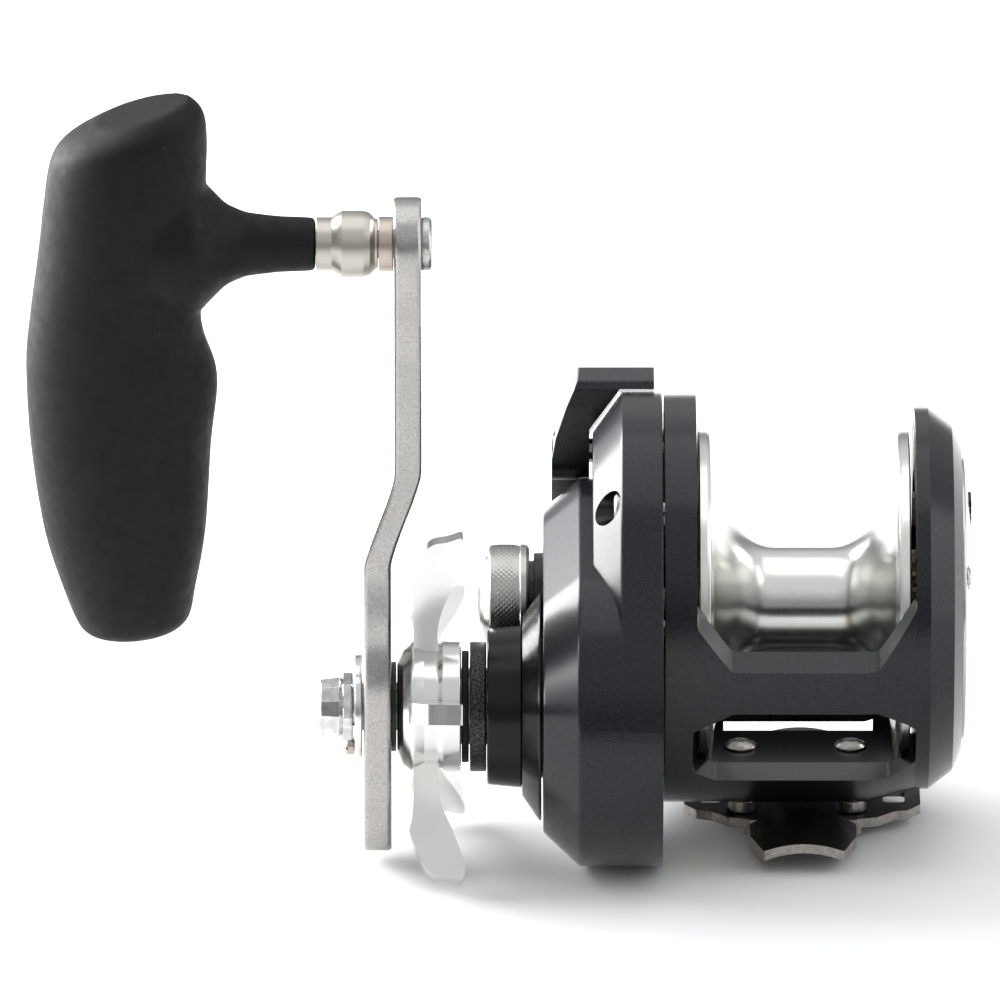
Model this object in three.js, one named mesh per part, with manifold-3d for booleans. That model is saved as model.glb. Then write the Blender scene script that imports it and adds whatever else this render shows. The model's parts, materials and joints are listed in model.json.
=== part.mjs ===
// Star-drag trolling reel, in millimetres. X runs along the spool axis from the crank to the tail,
// Y points to the back of the reel and Z up. The origin is the centre of the foot's flat underside.
import * as THREE from "three";
import { mergeVertices } from "three/addons/utils/BufferGeometryUtils.js";
import Module from "manifold-3d";

const wasm = await Module();
wasm.setup();

// ---------------------------------------------------------------- driving dimensions
const GAP = 0.3; // running or fitting gap between neighbouring pieces
const AXIS_HEIGHT = 34.0; // spool axis above the foot's underside
const HANDLE_Y = -18.5; // crank axis, from the spool axis
const HANDLE_Z = -10.9;
const HANDLE_OFFSET = Math.hypot(HANDLE_Y, HANDLE_Z);
const HANDLE_ANGLE = Math.atan2(HANDLE_Z, HANDLE_Y); // direction from spool axis to crank axis
const CRANK_LENGTH = 75.3; // crank axis to grip axis

const FRAME_R = 31.5; // outer radius of the frame
const CHAMBER_R = 26.3; // bore that the spool turns in
const FRAME_LEFT = -21.5;
const RING_RIGHT = -16.6; // inner face of the handle-side ring
const TAIL_LEFT = 17.1; // inner face of the tail ring
const FLOOR_TOP = -26.9;
const FRAME_FLAT = -30.4; // flat underside of the frame

const SPOOL_R = 25.8;
const SPOOL_HALF = 16.2;
const ARBOR_R = 7.85;
const SHAFT_R = 1.6;

const PLATE_R = 31.8; // handle side plate
const PLATE_RIGHT = -21.8;
const PLATE_SHOULDER = -28.0;
const PLATE_FACE = -32.5;
const PLATE_BEVEL = 6.3;
const WALL = 2.2;
const CASE_SPOOL_R = 18.5; // gear case radius about the spool axis
const CASE_HANDLE_R = 24.6; // gear case radius about the crank axis
const CASE_SHOULDER = -34.5;
const CASE_FACE = -40.2;
const CASE_BEVEL = 5.3;

const MODULE = (2 * HANDLE_OFFSET) / 61; // 51 and 10 teeth
const GEAR_TEETH = 51;
const PINION_TEETH = 10;
const PRESSURE_ANGLE = (25 * Math.PI) / 180;
const BACKLASH = 0.22;
const GEAR_X = [-30.5, -26.5];

const STAR_R = 28.1;
const STAR_THICK = 3.1;
const STAR_TILT = (162.2 * Math.PI) / 180; // direction of the first star arm, from +Y towards +Z

const LEVER_Y = 13.5; // pivot of the freespool lever
const LEVER_Z = 19.5;

const FOOT_THICK = 1.5;
const RIVET_X = [-9.5, 7.6];
const RIVET_Y = 6.15;
const RIVET_HOLE_R = 1.8;

const CLICK_TRAVEL = 4;

// ---------------------------------------------------------------- geometry helpers
const at = (x, y, z) => new THREE.Matrix4().makeTranslation(x, y, z);
const aboutHandle = at(0, HANDLE_Y, HANDLE_Z);
const aboutGrip = at(0, HANDLE_Y, HANDLE_Z + CRANK_LENGTH);
const polar = (r, a) => [r * Math.cos(a), r * Math.sin(a)];

// A closed three.js geometry as a manifold solid, moved by the matrix.
function solid(geometry, matrix) {
  const bare = geometry.index ? geometry.toNonIndexed() : geometry.clone();
  const only = new THREE.BufferGeometry().setAttribute("position", bare.getAttribute("position"));
  if (matrix) only.applyMatrix4(matrix);
  const merged = mergeVertices(only, 1e-4);
  const index = merged.index.array;
  const tris = [];
  for (let i = 0; i < index.length; i += 3) {
    const [a, b, c] = [index[i], index[i + 1], index[i + 2]];
    if (a !== b && b !== c && c !== a) tris.push(a, b, c);
  }
  const mesh = (list) =>
    new wasm.Manifold(
      new wasm.Mesh({
        numProp: 3,
        vertProperties: merged.attributes.position.array,
        triVerts: new Uint32Array(list),
      }),
    );
  const made = mesh(tris);
  if (made.volume() >= 0) return made;
  for (let i = 0; i < tris.length; i += 3) [tris[i], tris[i + 1]] = [tris[i + 1], tris[i]];
  return mesh(tris);
}

// A manifold solid as a three.js geometry.
function geometryOf(made) {
  const { vertProperties, triVerts, numProp } = made.getMesh();
  const points = new Float32Array((vertProperties.length / numProp) * 3);
  for (let i = 0; i < points.length / 3; i++) {
    points.set(vertProperties.subarray(i * numProp, i * numProp + 3), i * 3);
  }
  const geometry = new THREE.BufferGeometry();
  geometry.setAttribute("position", new THREE.BufferAttribute(points, 3));
  geometry.setIndex(new THREE.BufferAttribute(new Uint32Array(triVerts), 1));
  return geometry;
}

const cut = (base, ...tools) => tools.reduce((left, tool) => left.subtract(tool), base);
const join = (base, ...more) => more.reduce((sum, piece) => sum.add(piece), base);

// Sides of a round piece, so that its flats stay within a set distance of the true circle.
const FLAT_DEPTH = 0.14;
const sidesFor = (r) => Math.max(8, Math.ceil(Math.PI / Math.acos(1 - FLAT_DEPTH / r)));

// A solid turned about the X axis from [x, radius] points; it closes on itself or on the axis.
function turned(profile, matrix, sides = sidesFor(Math.max(...profile.map(([, r]) => r)))) {
  const closed = profile[0][1] === 0 && profile.at(-1)[1] === 0;
  const ring = closed ? profile : [...profile, profile[0]];
  const lathe = new THREE.LatheGeometry(
    ring.map(([x, r]) => new THREE.Vector2(r, x)),
    sides,
  );
  return solid(lathe.rotateZ(-Math.PI / 2), matrix);
}

// A plain disc or cylinder along X, and a tube with an inner radius.
const rod = (x0, x1, r, matrix, sides) => turned([[x0, 0], [x0, r], [x1, r], [x1, 0]], matrix, sides);
const tube = (x0, x1, inner, outer, matrix) =>
  turned([[x0, inner], [x0, outer], [x1, outer], [x1, inner]], matrix);

const SIDE_BASIS = new THREE.Matrix4().makeBasis(
  new THREE.Vector3(0, 1, 0),
  new THREE.Vector3(0, 0, 1),
  new THREE.Vector3(1, 0, 0),
);
const FRONT_BASIS = new THREE.Matrix4().makeBasis(
  new THREE.Vector3(1, 0, 0),
  new THREE.Vector3(0, 0, 1),
  new THREE.Vector3(0, -1, 0),
);

function prism(outline, depth, curveSegments = 8) {
  const shape = outline instanceof THREE.Shape
    ? outline
    : new THREE.Shape(outline.map(([a, b]) => new THREE.Vector2(a, b)));
  return new THREE.ExtrudeGeometry(shape, { depth, bevelEnabled: false, curveSegments });
}

// An outline drawn in (Y, Z), extruded along X from x0 to x1.
function alongX(outline, x0, x1, matrix, curveSegments) {
  const move = at(x0, 0, 0).multiply(SIDE_BASIS);
  if (matrix) move.premultiply(matrix);
  return solid(prism(outline, x1 - x0, curveSegments), move);
}

// An outline drawn in (X, Z), extruded along Y from y0 to y1.
function alongY(outline, y0, y1, matrix) {
  const move = at(0, y1, 0).multiply(FRONT_BASIS);
  if (matrix) move.premultiply(matrix);
  return solid(prism(outline, y1 - y0), move);
}

// An outline drawn in (X, Y), extruded along Z from z0 to z1.
const alongZ = (outline, z0, z1) => solid(prism(outline, z1 - z0), at(0, 0, z0));

const block = (x0, x1, y0, y1, z0, z1) =>
  solid(
    new THREE.BoxGeometry(x1 - x0, y1 - y0, z1 - z0),
    at((x0 + x1) / 2, (y0 + y1) / 2, (z0 + z1) / 2),
  );

// A closed skin through rings of points of equal count, with flat ends.
function lofted(rings) {
  const count = rings[0].length;
  const points = rings.flat();
  const tris = [];
  for (let k = 0; k + 1 < rings.length; k++) {
    for (let i = 0; i < count; i++) {
      const a = k * count + i;
      const b = k * count + ((i + 1) % count);
      tris.push(a, b, b + count, a, b + count, a + count);
    }
  }
  const last = (rings.length - 1) * count;
  for (let i = 1; i + 1 < count; i++) {
    tris.push(0, i + 1, i, last, last + i, last + i + 1);
  }
  const geometry = new THREE.BufferGeometry().setFromPoints(points);
  geometry.setIndex(tris);
  return solid(geometry);
}

// The egg outline of the gear case: the hull of a circle on the spool axis and one on the crank axis.
function eggPoints(spoolR, handleR, steps = 16) {
  const spread = Math.acos((spoolR - handleR) / HANDLE_OFFSET);
  const points = [];
  for (let i = 0; i <= steps; i++) {
    const a = HANDLE_ANGLE + spread + ((2 * Math.PI - 2 * spread) * i) / steps;
    points.push(polar(spoolR, a));
  }
  for (let i = 0; i <= steps; i++) {
    const [y, z] = polar(handleR, HANDLE_ANGLE - spread + (2 * spread * i) / steps);
    points.push([y + HANDLE_Y, z + HANDLE_Z]);
  }
  return points;
}

const eggRing = (x, spoolR, handleR) =>
  eggPoints(spoolR, handleR).map(([y, z]) => new THREE.Vector3(x, y, z));

// ---------------------------------------------------------------- assembly helpers
const reel = new THREE.Group();
const onAxis = new THREE.Group(); // everything is drawn about the spool axis
onAxis.position.z = AXIS_HEIGHT;
reel.add(onAxis);

const FINISH = {
  housing: { color: 0x30333a, roughness: 0.38, metalness: 0.55 },
  gloss: { color: 0x0b0b0d, roughness: 0.12, metalness: 0.2 },
  speckled: { color: 0x2a2b2e, roughness: 0.45, metalness: 0.6 },
  rubber: { color: 0x151517, roughness: 0.75, metalness: 0 },
  polished: { color: 0xd8d9d6, roughness: 0.16, metalness: 1 },
  blasted: { color: 0xb9bab6, roughness: 0.38, metalness: 1 },
  chrome: { color: 0xe2e2e2, roughness: 0.05, metalness: 1 },
  nickel: { color: 0x9b9388, roughness: 0.3, metalness: 1 },
  steel: { color: 0x8d8d8c, roughness: 0.3, metalness: 1 },
  bronze: { color: 0x9c6b4f, roughness: 0.35, metalness: 1 },
  brass: { color: 0xb59048, roughness: 0.35, metalness: 1 },
  carbon: { color: 0x1d1d1d, roughness: 0.8, metalness: 0 },
  footBlack: { color: 0x1a1a1b, roughness: 0.4, metalness: 0.5 },
};

function place(name, made, finish) {
  const mesh = new THREE.Mesh(geometryOf(made), new THREE.MeshStandardMaterial(FINISH[finish]));
  mesh.name = name;
  onAxis.add(mesh);
}

// ---------------------------------------------------------------- frame
// Window outlines in (X, Z): lower corners of the upper window and all corners of the front one
// are cut off at an angle.
const CROSSBAR_TOP = -0.7;
const UPPER_WINDOW = [
  [RING_RIGHT, 60], [RING_RIGHT, 5.8], [-11.2, CROSSBAR_TOP],
  [11.2, CROSSBAR_TOP], [TAIL_LEFT, 7.1], [TAIL_LEFT, 60],
];
const FRONT_WINDOW = [
  [-17.2, -11.2], [-11.0, -7.8], [11.0, -7.8], [17.1, -11.2],
  [17.1, -18.2], [13.0, -21.4], [-13.6, -21.4], [-17.2, -19.4],
];
const REAR_WINDOW = [
  [RING_RIGHT, 60], [RING_RIGHT, -10], [-12, -15.6], [12, -15.6], [TAIL_LEFT, -10], [TAIL_LEFT, 60],
];
const REAR_SLOT_Y = 13.3; // back edge of the floor
const REAR_SLOT_WIDTH = 3.4;
const CROSSBAR_SLOPE = (17 * Math.PI) / 180; // the crossbar's top rises towards the spool

// Plate screw holes, as angles from +Y towards +Z.
const PLATE_SCREW_R = 28.7;
const PLATE_SCREW_ANGLES = [131, 41, -22, -78].map((deg) => (deg * Math.PI) / 180);
const TAIL_SCREW_R = 18.8;
const TAIL_SCREW_ANGLES = [30, 150, 270].map((deg) => (deg * Math.PI) / 180);
const atPolar = (r, a) => at(0, ...polar(r, a));

const SLOT_Z = [CLICK_TRAVEL + 5.1, 15.9]; // the click pawl's stem runs in this slot

function frameBody() {
  const shell = turned(
    [
      [FRAME_LEFT, CHAMBER_R], [FRAME_LEFT, FRAME_R], [10, FRAME_R], [TAIL_LEFT, 29.5], [19.2, 29.5],
      [23.2, 26.5], [24.9, 23.0], [24.9, 22.1], [23.9, 22.1], [23.9, 16.5], [20.4, 16.5], [20.4, 6.8],
      [22.6, 6.8], [22.6, 5.0], [18.7, 5.0], [18.7, 3.9], [18.4, 3.9], [18.4, 19], [TAIL_LEFT, 20],
      [TAIL_LEFT, CHAMBER_R],
    ],
  );
  const tilt = at(0, -FRAME_R, CROSSBAR_TOP)
    .multiply(new THREE.Matrix4().makeRotationX(CROSSBAR_SLOPE))
    .multiply(at(0, FRAME_R, -CROSSBAR_TOP));
  const upper = alongY(UPPER_WINDOW, -40, 10, tilt);
  const rear = alongY(REAR_WINDOW, -8, 40);
  const lower = alongY(FRONT_WINDOW, -40, -15);
  const slot = block(-13.4, 12.5, REAR_SLOT_Y, REAR_SLOT_Y + REAR_SLOT_WIDTH, -40, -15);
  const floor = block(RING_RIGHT, TAIL_LEFT, -REAR_SLOT_Y, REAR_SLOT_Y, FLOOR_TOP, -15);
  const under = block(-30, 30, -20, 20, -40, FRAME_FLAT);
  const screws = PLATE_SCREW_ANGLES.map((a) => rod(-23, -17.6, 1.2, atPolar(PLATE_SCREW_R, a)));
  const tails = TAIL_SCREW_ANGLES.map((a) => rod(20.9, 26, 1.1, atPolar(TAIL_SCREW_R, a)));
  const click = block(17, 25, -1.4, 1.4, SLOT_Z[0], SLOT_Z[1]);
  return cut(shell, upper, rear, lower, slot, floor, under, click, ...rivetHoles(), ...screws, ...tails);
}

// Upright holes through the four rivet places.
function rivetHoles() {
  const upright = new THREE.Matrix4().makeRotationX(Math.PI / 2);
  const hole = new THREE.CylinderGeometry(RIVET_HOLE_R, RIVET_HOLE_R, 20, 16);
  return RIVET_X.flatMap((x) =>
    [-RIVET_Y, RIVET_Y].map((y) => solid(hole, at(x, y, -30).multiply(upright))),
  );
}

// ---------------------------------------------------------------- foot and rivets
const FOOT_Z = -AXIS_HEIGHT;
const TONGUE_HALF = 8.2;
const TIP_HALF = 6.2;
const TIP_Y = 25.6;
const SADDLE_R = 15; // hollow of the tongues that sits on the rod seat
const SADDLE_RISE = 1.6; // height of that hollow above the foot's underside
const ARCH_START = 10.4; // the tongues arch from here to their tips
const CLAMP_SLOT = { x: 14.2, halfX: 1.7, halfY: 3.2 };

// Half of the plan outline, clockwise from the tip of the front tongue to the end of the wing.
const FOOT_QUARTER = [
  [TIP_HALF, TIP_Y], [TONGUE_HALF, 16.4], [TONGUE_HALF, 10.6], [11.5, 9.8], [14.2, 7.2], [16.4, 6.6],
  [18.3, 4.0],
];

function footBody() {
  const side = (sx, sy) => FOOT_QUARTER.map(([x, y]) => [sx * x, sy * y]);
  const outline = [
    ...side(1, -1), ...side(1, 1).reverse(), ...side(-1, 1), ...side(-1, -1).reverse(),
  ];
  const blank = alongZ(outline, FOOT_Z, FOOT_Z + FOOT_THICK + SADDLE_RISE);
  // The tongues arch up over the rod seat; the middle stays flat.
  const flat = block(-20, 20, -11, 11, FOOT_Z, FOOT_Z + FOOT_THICK);
  const arch = (y0, y1) => {
    const ring = new THREE.Shape();
    ring.absarc(0, 0, SADDLE_R + FOOT_THICK, Math.PI * 0.12, Math.PI * 0.88, false);
    ring.absarc(0, 0, SADDLE_R, Math.PI * 0.88, Math.PI * 0.12, true);
    return alongY(ring, y0, y1, at(0, 0, FOOT_Z - SADDLE_R + SADDLE_RISE));
  };
  const plate = join(flat, arch(-30, -ARCH_START), arch(ARCH_START, 30)).intersect(blank);
  const { x, halfX, halfY } = CLAMP_SLOT;
  const slots = [-x, x].map((middle) => block(middle - halfX, middle + halfX, -halfY, halfY, -40, -30));
  return cut(plate, ...slots, ...rivetHoles());
}

// A rivet with a domed head on the floor, a shoulder between frame and foot, and a flush tail.
function rivetBody(x, y) {
  const head = FLOOR_TOP + GAP;
  const top = FOOT_Z + FOOT_THICK + GAP;
  const profile = [
    [FOOT_Z + GAP, 0], [FOOT_Z + GAP, 1.5], [top, 1.5], [top, 2.45], [FRAME_FLAT - GAP, 2.45],
    [FRAME_FLAT - GAP, 1.5], [head, 1.5], [head, 2.55], [head + 0.5, 2.2], [head + 0.9, 1.2],
    [head + 1.0, 0],
  ];
  const upright = new THREE.Matrix4().makeRotationY(-Math.PI / 2);
  return turned(profile, at(x, y, 0).multiply(upright));
}

// ---------------------------------------------------------------- handle side plate and what is on it
const SLEEVE_R = 12.0;
const NECK_R = 7.0;
const BRIDGE_X = [-23.9, PLATE_RIGHT];
// Bridge screws and yoke posts, as distances away from the gear and across that direction.
const fromGear = (away, across) => [
  -away * Math.cos(HANDLE_ANGLE) - across * Math.sin(-HANDLE_ANGLE),
  -away * Math.sin(HANDLE_ANGLE) - across * Math.cos(HANDLE_ANGLE),
];
const BRIDGE_SCREWS = [fromGear(4, 13.6), fromGear(4, -13.6)];
const YOKE_POSTS = [fromGear(3, 8), fromGear(3, -8)];

// The outside of the gear case, grown by a clearance.
function gearCase(grow) {
  const spoolR = CASE_SPOOL_R + grow;
  const handleR = CASE_HANDLE_R + grow;
  return lofted([
    eggRing(PLATE_RIGHT, spoolR, handleR),
    eggRing(CASE_SHOULDER, spoolR, handleR),
    eggRing(CASE_FACE, spoolR - CASE_BEVEL, handleR - CASE_BEVEL),
  ]);
}

function sidePlateBody() {
  // The plate's edge runs into the gear case round the crank axis.
  const plate = lofted([
    eggRing(PLATE_RIGHT, PLATE_R, CASE_HANDLE_R),
    eggRing(PLATE_SHOULDER, PLATE_R, CASE_HANDLE_R),
    eggRing(PLATE_FACE, PLATE_R - PLATE_BEVEL, CASE_HANDLE_R - PLATE_BEVEL),
  ]);
  const neck = rod(-41.6, -39, NECK_R);
  const thread = rod(-45.3, -39, 5.8);
  const discHollow = turned([[-21, 0], [-21, 29.4], [-27.2, 29.4], [-30.3, 24.9], [-30.3, 0]]);
  const inner = [CASE_SPOOL_R - WALL, CASE_HANDLE_R - WALL];
  const eggHollow = lofted([
    eggRing(-21, ...inner),
    eggRing(CASE_SHOULDER + 0.9, ...inner),
    eggRing(CASE_FACE + WALL, inner[0] - 4.1, inner[1] - 4.1),
  ]);
  const bosses = [
    ...PLATE_SCREW_ANGLES.map((a) => rod(-31, PLATE_RIGHT, 3.0, atPolar(PLATE_SCREW_R, a))),
    ...BRIDGE_SCREWS.map(([y, z]) => rod(-38.6, BRIDGE_X[0] - GAP, 2.6, at(0, y, z))),
  ];
  const whole = join(plate, gearCase(0), neck, thread);
  const kept = join(cut(whole, discHollow, eggHollow), ...bosses).intersect(whole);
  const tools = [
    rod(-46, -39.2, 2.6), // spool shaft
    rod(-40.9, -37, 5.0), // left spool bearing
    rod(-42, -37, 11.3, aboutHandle), // spigot of the clutch housing
    rod(-34, -29, 2.2, at(0, LEVER_Y, LEVER_Z)), // lever shaft
    ...PLATE_SCREW_ANGLES.map((a) => rod(-40, -27.4, 2.7, atPolar(PLATE_SCREW_R, a))),
    ...PLATE_SCREW_ANGLES.map((a) => rod(-30, -21, 1.3, atPolar(PLATE_SCREW_R, a))),
    ...BRIDGE_SCREWS.map(([y, z]) => rod(-28.6, -23, 1.3, at(0, y, z))),
  ];
  return cut(kept, ...tools);
}

function bridgePlateBody() {
  const egg = alongX(eggPoints(CASE_SPOOL_R - WALL - GAP, CASE_HANDLE_R - WALL - GAP), ...BRIDGE_X);
  const disc = rod(...BRIDGE_X, 25.2);
  const posts = YOKE_POSTS.map(([y, z]) => rod(-37.4, -23, 1.2, at(0, y, z)));
  const holes = [
    rod(-25, -20, 6.3, aboutHandle),
    rod(-25, -20, 4.7),
    ...BRIDGE_SCREWS.map(([y, z]) => rod(-25, -20, 1.3, at(0, y, z))),
  ];
  return cut(join(disc, egg, ...posts), ...holes);
}

function ratioRingBody() {
  const innerR = SLEEVE_R + GAP;
  const ring = turned([[-43.4, innerR], [-43.4, 13.7], [-40.5, 18.0], [-40.5, innerR]], aboutHandle);
  return cut(ring, rod(-50, -38, 8.7));
}

function clutchHousingBody() {
  return turned(
    [
      [-48.8, 9.8], [-48.8, 12.0], [-43.7, 12.5], [-43.7, SLEEVE_R], [-40.5, SLEEVE_R], [-40.5, 11.0],
      [-37.9, 11.0], [-37.9, 9.8],
    ],
    aboutHandle,
  );
}

// ---------------------------------------------------------------- gears
const involute = (angle) => Math.tan(angle) - angle;

// Outline of a spur gear with straight flanks, first tooth centred at the start angle.
function gearPoints(teeth, startAngle) {
  const pitchR = (MODULE * teeth) / 2;
  const baseR = pitchR * Math.cos(PRESSURE_ANGLE);
  const radii = [pitchR - MODULE, pitchR + 0.8 * MODULE];
  const half = (r) => {
    const flank = involute(Math.acos(Math.min(1, baseR / Math.max(r, baseR))));
    return Math.PI / (2 * teeth) - BACKLASH / (4 * pitchR) + involute(PRESSURE_ANGLE) - flank;
  };
  const points = [];
  for (let k = 0; k < teeth; k++) {
    const centre = startAngle + (2 * Math.PI * k) / teeth;
    for (const r of radii) points.push(polar(r, centre - half(r)));
    for (const r of [...radii].reverse()) points.push(polar(r, centre + half(r)));
  }
  return points;
}

function driveGearBody() {
  const teeth = alongX(gearPoints(GEAR_TEETH, HANDLE_ANGLE + Math.PI), ...GEAR_X, aboutHandle);
  return cut(teeth, rod(-32, -20, 5.0, aboutHandle), rod(-32, -29.0, 14.3, aboutHandle));
}

function pinionBody() {
  const start = HANDLE_ANGLE + Math.PI / PINION_TEETH;
  const teeth = alongX(gearPoints(PINION_TEETH, start), -32.0, -24.4);
  const hub = turned(
    [
      [-36.0, 0], [-36.0, 3.5], [-34.8, 3.5], [-34.8, 2.6], [-33.2, 2.6], [-33.2, 3.5], [-31.8, 3.5],
      [-31.8, 2.7], [-24.6, 2.7], [-24.6, 3.9], [-22.2, 3.9], [-22.2, 0],
    ],
  );
  const pinSlot = block(-23.7, -20, -0.8, 0.8, -6, 6);
  return cut(teeth.add(hub), rod(-40, -20, 1.9), pinSlot);
}

// ---------------------------------------------------------------- pinion yoke and its cam
const YOKE_X = [-34.4, -33.6];
const FINGER_X = [-27.9, -27.1];
const CAM_X = [-26.8, -24.9];
const CAM_R = 5;
const YOKE_TRAVEL = 1.6;
const LEVER_SWING = (30 * Math.PI) / 180;

function yokeBody() {
  const outline = [
    [-2.2, 10.2], [5.4, 10.2], [10.6, 7.2], [10.6, 5.6], [6.2, 5.6], [5.4, -10.2], [-2.2, -10.2],
    [-2.2, -2.95], [1.2, -2.95], [2.6, -1.6], [2.95, 0], [2.6, 1.6], [1.2, 2.95], [-2.2, 2.95],
  ].map(([away, across]) => fromGear(away, across));
  const plate = alongX(outline, ...YOKE_X);
  const drawn = (points, x0, x1) => alongX(points.map((p) => fromGear(...p)), x0, x1);
  const web = drawn([[9.6, 5.6], [10.6, 5.6], [10.6, 7.2], [9.6, 7.2]], YOKE_X[0], FINGER_X[1]);
  const finger = drawn([[9.6, 5.6], [11.0, 5.6], [18.0, 7.5], [17.8, 8.3], [9.6, 7.2]], ...FINGER_X);
  const posts = YOKE_POSTS.map(([y, z]) => rod(-40, -20, 1.5, at(0, y, z)));
  return cut(join(plate, web, finger), ...posts);
}

// The cam turns with the lever; its wedge lifts the yoke's finger.
function leverCamBody() {
  const pivot = at(0, LEVER_Y, LEVER_Z);
  const shaft = rod(-35.4, CAM_X[0] + 0.2, 1.9, pivot);
  const disc = rod(...CAM_X, CAM_R, pivot);
  // Direction from the pivot to the finger, and the way the finger moves over the cam.
  const [fy, fz] = fromGear(17.2, 7.8);
  const reach = Math.hypot(fy - LEVER_Y, fz - LEVER_Z);
  const toward = Math.atan2(fz - LEVER_Z, fy - LEVER_Y);
  const chord = 2 * reach * Math.sin(LEVER_SWING / 2);
  const wedge = new THREE.Shape();
  wedge.moveTo(0.9, 0);
  wedge.lineTo(0.9 + chord, YOKE_TRAVEL);
  wedge.lineTo(2.4 + chord, YOKE_TRAVEL);
  wedge.lineTo(2.4 + chord, -0.5);
  wedge.lineTo(0.9, -0.5);
  const across = toward + LEVER_SWING / 2; // middle of the finger's path, seen from the cam
  const basis = new THREE.Matrix4().makeBasis(
    new THREE.Vector3(0, -Math.sin(across), Math.cos(across)),
    new THREE.Vector3(-1, 0, 0),
    new THREE.Vector3(0, -Math.cos(across), -Math.sin(across)),
  );
  const start = -reach * Math.sin(LEVER_SWING / 2);
  const move = at(CAM_X[0], LEVER_Y, LEVER_Z)
    .multiply(basis)
    .multiply(at(start, 0, -CAM_R));
  const lobe = solid(prism(wedge, CAM_R - 2.2), move).intersect(rod(-30, -24, CAM_R, pivot));
  return join(shaft, disc, lobe);
}

// ---------------------------------------------------------------- freespool lever
const LEVER_X = [-38.8, -23.0];
const LEVER_HUB_R = 4.9;
const LEVER_TOP_Z = 32.0;
const LEVER_FOOT_Z = 10.5; // the lever's lower end, behind the gear case
const LEVER_CLEARANCE = 0.6;

function leverBody() {
  // Side view of the lever: hub with its lower end, tapered arm and thumb end.
  const outline = new THREE.Shape();
  outline.absarc(LEVER_Y, LEVER_Z, LEVER_HUB_R, Math.PI * 1.02, Math.PI * 1.3, false);
  outline.lineTo(LEVER_Y + 1.0, LEVER_FOOT_Z);
  outline.lineTo(LEVER_Y + 4.0, LEVER_FOOT_Z);
  outline.lineTo(LEVER_Y + LEVER_HUB_R, LEVER_Z);
  outline.lineTo(LEVER_Y + 4.4, 29.5);
  outline.lineTo(LEVER_Y + 2.2, LEVER_TOP_Z + 0.4);
  outline.lineTo(LEVER_Y - 4.2, LEVER_TOP_Z);
  outline.lineTo(LEVER_Y - 5.0, 28.5);
  const blank = alongX(outline, ...LEVER_X, undefined, 12);
  // The outer face leans in towards the thumb end, and the inner side follows the plate's edge.
  const lean = alongY(
    [[-45, 17], [-38.8, 19.5], [-38.0, 24.5], [-34.6, 31.5], [-33.0, 40], [-45, 40]],
    -5,
    40,
  );
  const edgeR = PLATE_R + LEVER_CLEARANCE;
  const edge = turned([
    [PLATE_FACE - LEVER_CLEARANCE, 0], [PLATE_FACE - LEVER_CLEARANCE, edgeR - PLATE_BEVEL],
    [PLATE_SHOULDER - 0.2, edgeR], [-20, edgeR], [-20, 0],
  ]);
  const pivot = at(0, LEVER_Y, LEVER_Z);
  const holes = [rod(-36, -30, 2.2, pivot), rod(-40, -37, 2.9, pivot), rod(-40, -30, 1.3, pivot)];
  return cut(blank, lean, ...seenFromLever(edge), ...seenFromLever(gearCase(LEVER_CLEARANCE)), ...holes);
}

// Where a fixed shape stands as the lever swings, seen from the lever.
function seenFromLever(shape) {
  const steps = 3;
  const places = [];
  for (let k = 0; k <= steps; k++) {
    const degrees = ((LEVER_SWING * k) / steps) * (180 / Math.PI);
    const atPivot = shape.translate([0, -LEVER_Y, -LEVER_Z]);
    places.push(atPivot.rotate([degrees, 0, 0]).translate([0, LEVER_Y, LEVER_Z]));
  }
  return places;
}

// ---------------------------------------------------------------- star wheel
function starBody() {
  const hub = turned(
    [
      [-62.6, 4.9], [-62.6, 6.8], [-61.6, 9.2], [-60.2, 10.2], [-56.0, 10.0], [-52.8, 10.0], [-52.8, 8.9],
      [-54.0, 8.9], [-54.0, 4.9],
    ],
  );
  // One arm in (radius, X): a waist near the hub, then a blade that leans towards the reel.
  const arm = new THREE.Shape();
  arm.moveTo(8.5, -60.0);
  arm.lineTo(15.7, -60.2);
  arm.quadraticCurveTo(18.6, -60.3, 20.0, -60.8);
  arm.lineTo(26.1, -58.4);
  arm.quadraticCurveTo(27.1, -57.2, 27.3, -55.2);
  arm.lineTo(STAR_R, -53.0);
  arm.lineTo(27.2, -52.2);
  arm.lineTo(24.8, -52.2);
  arm.quadraticCurveTo(19.5, -54.4, 15.4, -56.0);
  arm.lineTo(12.0, -56.4);
  arm.lineTo(8.5, -56.1);
  const blades = [];
  for (let k = 0; k < 5; k++) {
    const a = STAR_TILT + (2 * Math.PI * k) / 5;
    const basis = new THREE.Matrix4().makeBasis(
      new THREE.Vector3(0, Math.cos(a), Math.sin(a)),
      new THREE.Vector3(1, 0, 0),
      new THREE.Vector3(0, Math.sin(a), -Math.cos(a)),
    );
    blades.push(solid(prism(arm, STAR_THICK, 4), basis.multiply(at(0, 0, -STAR_THICK / 2))));
  }
  const bore = rod(-64, -52, 4.9);
  return cut(join(hub, ...blades), bore).translate([0, HANDLE_Y, HANDLE_Z]);
}

// ---------------------------------------------------------------- crank
function gearSleeveBody() {
  return turned(
    [
      [-72.4, 0], [-72.4, 3.0], [-68.0, 3.0], [-68.0, 3.7], [-62.6, 3.7], [-62.6, 4.6], [-25.1, 4.6],
      [-25.1, 8.0], [-24.3, 8.0], [-24.3, 3.0], [-22.0, 3.0], [-22.0, 0],
    ],
    aboutHandle,
  );
}

const ARM_LOW_END = -23.2; // below the crank axis
const ARM_THICK = 4.2;
const ARM_JOG = 4.7; // offset of the arm between its two ends

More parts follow.
